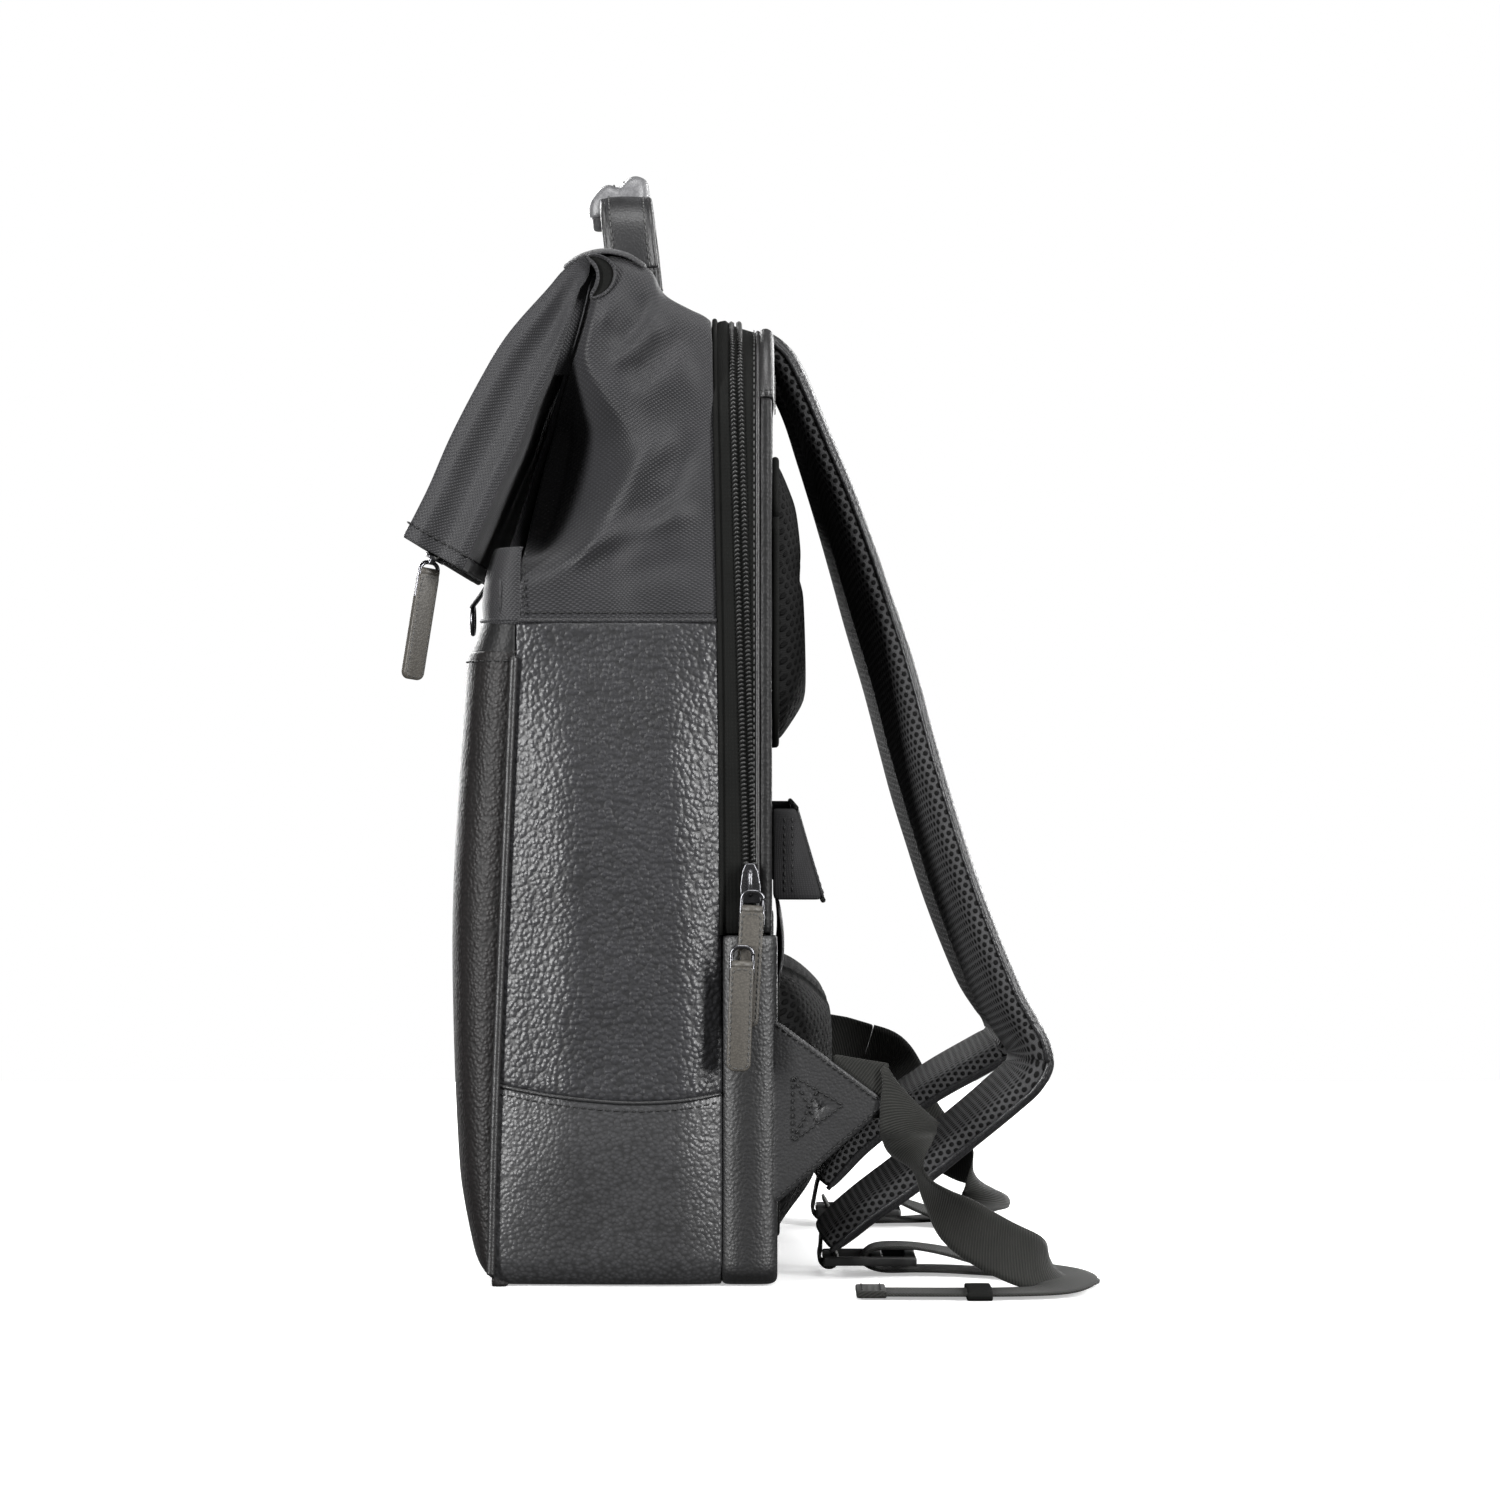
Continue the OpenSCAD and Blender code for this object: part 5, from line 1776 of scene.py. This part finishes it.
def add_webbing(label):
    """Free webbing from the tab through the ladder lock, on the same route as its CAD solid."""
    path = smooth(WEB_ROUTES[label], STEPS)
    frames = [(p, side * WEB_HALF, up)
              for p, _, side, up in frames_along(path, smooth(WEB_SIDES[label], STEPS))]
    if label == "right":
        frames[:len(CREASE_FRAMES)] = crease_frames(path)
    rows = []
    for point, side, up in frames:
        top = [(s, 0.5 * WEB_T * (1 if abs(s) < 0.95 else 0.55)) for s in spread(-1, 1, 9)]
        row = [point + side * s + up * u for s, u in top]
        row += [point + side * s - up * u for s, u in reversed(top)]
        rows.append(row)
    strip = grid("webbing_strip_" + label, rows, WEBBING, closed=True, caps=True, subdivide=0)
    extras = [add_tail_end(), add_keeper()] if label == "right" else []
    round(path_length(path) * MM, 3)
    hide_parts("webbing_" + label)
    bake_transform(strip)


def add_webbing_roots():
    """Sewn ends of both webbings, flat behind their tabs."""
    for side, label in SIDES:
        start = WEB_ROUTES[label][0]
        path = resample([(side * 145.2, 92, 90), (side * 146.2, 104, 88), start], 12)
        across = [Vector((0, 0, side))] * len(path)
        root = band("webbing_root_" + label, path, across, WEB_HALF, WEBBING, 1.5, 9)
        place(root, "bag", "webbing")


def add_tail_end():
    """The webbing's end, turned over and sewn with two rows."""
    low, high = (168.2, 103.0, 0.6), (193.8, 116.0, 3.8)
    fold = boxes("webbing_tail_end", [(low, high)], WEBBING, 0.9)
    threads = []
    for y in (105.5, 113.5):
        line = [Vector((x, y, high[2] + 0.1)) for x in (170, 192)]
        threads.append(stitches("row", line, [Vector((0, 0, 1))], THREAD, 2.8, 2.1, 0.34))
    tail = join("webbing_tail", [fold] + threads)
    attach(tail, "strap_right_body")
    return tail


def add_keeper():
    """An elastic loop that holds the webbing's end down."""
    ring = [(167.6, 0.1), (167.2, 2.0), (167.6, 3.7), (175, 3.9), (182, 4.0), (189, 3.9),
            (196.4, 3.7), (196.8, 2.0), (196.4, 0.1), (189, 0.05), (182, 0.05), (175, 0.05)]
    rows = [[Vector((x, y, z)) for x, z in ring] for y in spread(150.5, 161.5, 7)]
    keeper = grid("elastic_keeper", rows[::-1], TAPE, thickness=0.8, closed=True)
    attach(keeper, "strap_right_body")
    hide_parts("webbing_keeper")
    return keeper


# ---------------------------------------------------------------- sliders, pullers, ring, stud

def slab(name, outline, low, high, place_point, material, bevel=0.4):
    """A plate from a 2-D outline between two levels; place_point(u, v, w) gives its place."""
    count = len(outline)
    points = [place_point(u, v, w) for w in (low, high) for u, v in outline]
    faces = [tuple(reversed(range(count))), tuple(range(count, 2 * count))]
    faces += [(k, (k + 1) % count, count + (k + 1) % count, count + k) for k in range(count)]
    obj = mesh_object(name, points, faces, material, [(p[1], p[2]) for p in points])
    bm = bmesh.new()
    bm.from_mesh(obj.data)
    bmesh.ops.recalc_face_normals(bm, faces=bm.faces)
    bm.to_mesh(obj.data)
    bm.free()
    add_modifier(obj, "BEVEL", width=bevel * MM, segments=3, limit_method="ANGLE")
    return obj


def capsule(half_u, low_v, high_v, radius, steps=7):
    """Outline of a rounded strip."""
    out = []
    u, low, high = half_u - radius, low_v + radius, high_v - radius
    for cu, cv, turn in ((u, high, 0), (-u, high, 90), (-u, low, 180), (u, low, 270)):
        for k in range(steps + 1):
            a = math.radians(turn + 90 * k / steps)
            out.append((cu + radius * math.cos(a), cv + radius * math.sin(a)))
    return out


def turned_plane(centre, axis, degrees):
    """A function from (u, v, w), across, up and out, to a place turned about axis at centre."""
    spot, spin = Vector(centre), Matrix.Rotation(math.radians(degrees), 3, axis)

    def put(u, v, w):
        return spot + spin @ Vector((w, u, v))
    return put


SLIDER_HALF = 9.0


def slider(name, centre, turn, body, node):
    """A zip slider: two shield-shaped plates, a neck and a bridge for the puller's ring."""
    shield = [(u, SLIDER_HALF * share) for u, share in (
        (-4.37, -1), (4.37, -1), (4.6, -0.2), (3.6, 0.55), (2.0, 0.95), (-2.0, 0.95),
        (-3.6, 0.55), (-4.6, -0.2))]
    put = turned_plane(centre, *turn)
    pieces = [slab("plate", shield, 1.2, 2.5, put, GUNMETAL, 0.5),
              slab("plate", shield, -2.3, -1.2, put, GUNMETAL, 0.4),
              slab("neck", capsule(1.4, -3, 3, 1.2), -1.4, 1.4, put, GUNMETAL, 0.2)]
    bow = ((-0.75, 2.3), (-0.6, 4.0), (0, 4.9), (0.6, 4.0), (0.75, 2.3))
    bridge = smooth([put(0, v * SLIDER_HALF * 0.8, w) for v, w in bow], 5)
    pieces.append(tube("bridge", bridge, 1.0, GUNMETAL, sides=10))
    place(join(name, pieces), body, "gunmetal", node)


def puller(name, pivot, turn, tab_length, body, node, tab_start=7.0):
    """A wire ring and a leather tab folded over it, hanging from the ring's top."""
    put = turned_plane(pivot, *turn)
    ring = capsule(4.7, -17.8, 0.3, 3.6)
    wire = tube(name + "_ring", [put(u, v, 0) for u, v in ring + ring[:1]], 0.95, GUNMETAL,
                sides=12)
    place(wire, body, "gunmetal")
    low = -19.1 - tab_length
    outline = capsule(5.3, low, -tab_start, 3.4)
    face = slab("tab", outline, -1.75, 1.75, put, PULLER_LEATHER, 0.9)
    lip = tube("fold", [put(u, -tab_start - 0.6, 0) for u in (-4.6, 4.6)], 2.0, PULLER_LEATHER)
    threads = []
    border = capsule(4.1, low + 1.3, -tab_start - 2.6, 2.6)
    for side in (1, -1):
        line = [put(u, v, side * 1.8) for u, v in border + border[:1]]
        normal = put(0, 0, side) - put(0, 0, 0)
        threads.append(stitches("row", line, [normal], GREY_THREAD, 2.7, 1.9, 0.26, 0.1))
    place(join(name + "_tab", [face, lip] + threads), body, "puller_leather", node)


def add_hardware():
    x_axis, y_axis, z_axis = Vector((1, 0, 0)), Vector((0, 1, 0)), Vector((0, 0, 1))
    for name, z, body in (("upper", 178, "upper_slider_body"), ("lower", 156, "lower_slider_body")):
        slider("slider_" + name, (HALF_W + 4.4, lean_y(z), z), (x_axis, 1.6), body,
               "zip_slider_" + name)
    puller("puller_upper_pull", (HALF_W + 9.4, 58.5, 174), (x_axis, -3), 40,
           "upper_puller_body", "puller_upper")
    puller("puller_lower_pull", (HALF_W + 13.4, 54, 150), (x_axis, -2), 35,
           "lower_puller_body", "puller_lower")
    tilt = (Matrix.Rotation(math.radians(-29), 3, x_axis)
            @ Matrix.Rotation(math.radians(90), 3, y_axis))
    spot = Vector((138, -83.6, 319.8))
    shield = [(-4.4, -7), (4.4, -7), (4.6, 0), (3.4, 4), (2, 7), (-2, 7), (-3.4, 4), (-4.6, 0)]

    def put(u, v, w):
        return spot + tilt @ Vector((w - 1.6, u, v))

    pieces = [slab("plate", shield, -0.8, 0.8, put, GUNMETAL, 0.5),
              slab("neck", capsule(1.4, -3, 3, 1.2), 0.7, 2.9, put, GUNMETAL, 0.2)]
    place(join("hem_slider", pieces), "flap_slider_body", "gunmetal", "flap_slider")
    lean = (Matrix.Rotation(math.radians(-9), 3, x_axis)
            @ Matrix.Rotation(math.radians(38), 3, z_axis)).to_quaternion()
    puller("hem_puller", (138, -84.5, 319), (lean.axis, math.degrees(lean.angle)), 33,
           "flap_puller_body", "flap_puller", 3.5)
    loop = [Vector((6.5 * math.sin(a), -74.5, 298 + 6.5 * math.cos(a))) for a in circle(40)]
    ring = tube("closure_wire", loop + loop[:1], 1.15, GUNMETAL, sides=14)
    place(ring, "ring_body", "gunmetal", "closure_ring")
    strip = smooth([(0, -68.6, 313.6), (0, -70.2, 311), (0, -72.6, 307.6), (0, -74.6, 305.0),
                    (0, -75.4, 303.4)], 4)
    chape = band("ring_chape", strip, [x_axis] * len(strip), 6, BAND_LEATHER, 1.6, 7, 0.3)
    place(chape, "flap_body", "leather_black", "flap_loop")
    profile = [(0.01, -61.0), (2.2, -61.0), (2.2, -66.6), (3.6, -67.0), (4.5, -67.8), (4.4, -68.7),
               (3.2, -69.4), (0.01, -69.6)]
    rows = [[Vector((r * math.cos(a), y, 304 + r * math.sin(a))) for a in circle(28)]
            for r, y in profile]
    place(grid("closure_stud", rows, GUNMETAL, closed=True), "bag", "gunmetal", "closure_peg")


# ---------------------------------------------------------------- the whole bag

def dress_cad_nodes():
    """Gives the CAD nodes that stay visible their detailed materials."""
    for node, material in (("lining", LINING), ("divider", LINING), ("base_board", BOARD),
                           ("back_board", BOARD)):
        mesh = bpy.data.objects[node].data
        mesh.materials.clear()
        mesh.materials.append(material)


add_camera()
for strap in ("right", "left"):
    add_webbing(strap)
add_webbing_roots()
add_studio()
add_front_skin()
add_placket()
add_gussets()
add_boot()
add_seams()
add_patch()
add_upper_skin()
add_front_strip()
add_throats()
add_mouth_panel()
add_waist()
add_flap()
add_fold_sheet()
add_handle()
add_laptop_band()
add_zip()
add_back_edge()
add_back_panel()
add_pads()
add_back_details()
add_tabs()
for strap in ("right", "left"):
    add_strap(strap)
add_hardware()
dress_cad_nodes()
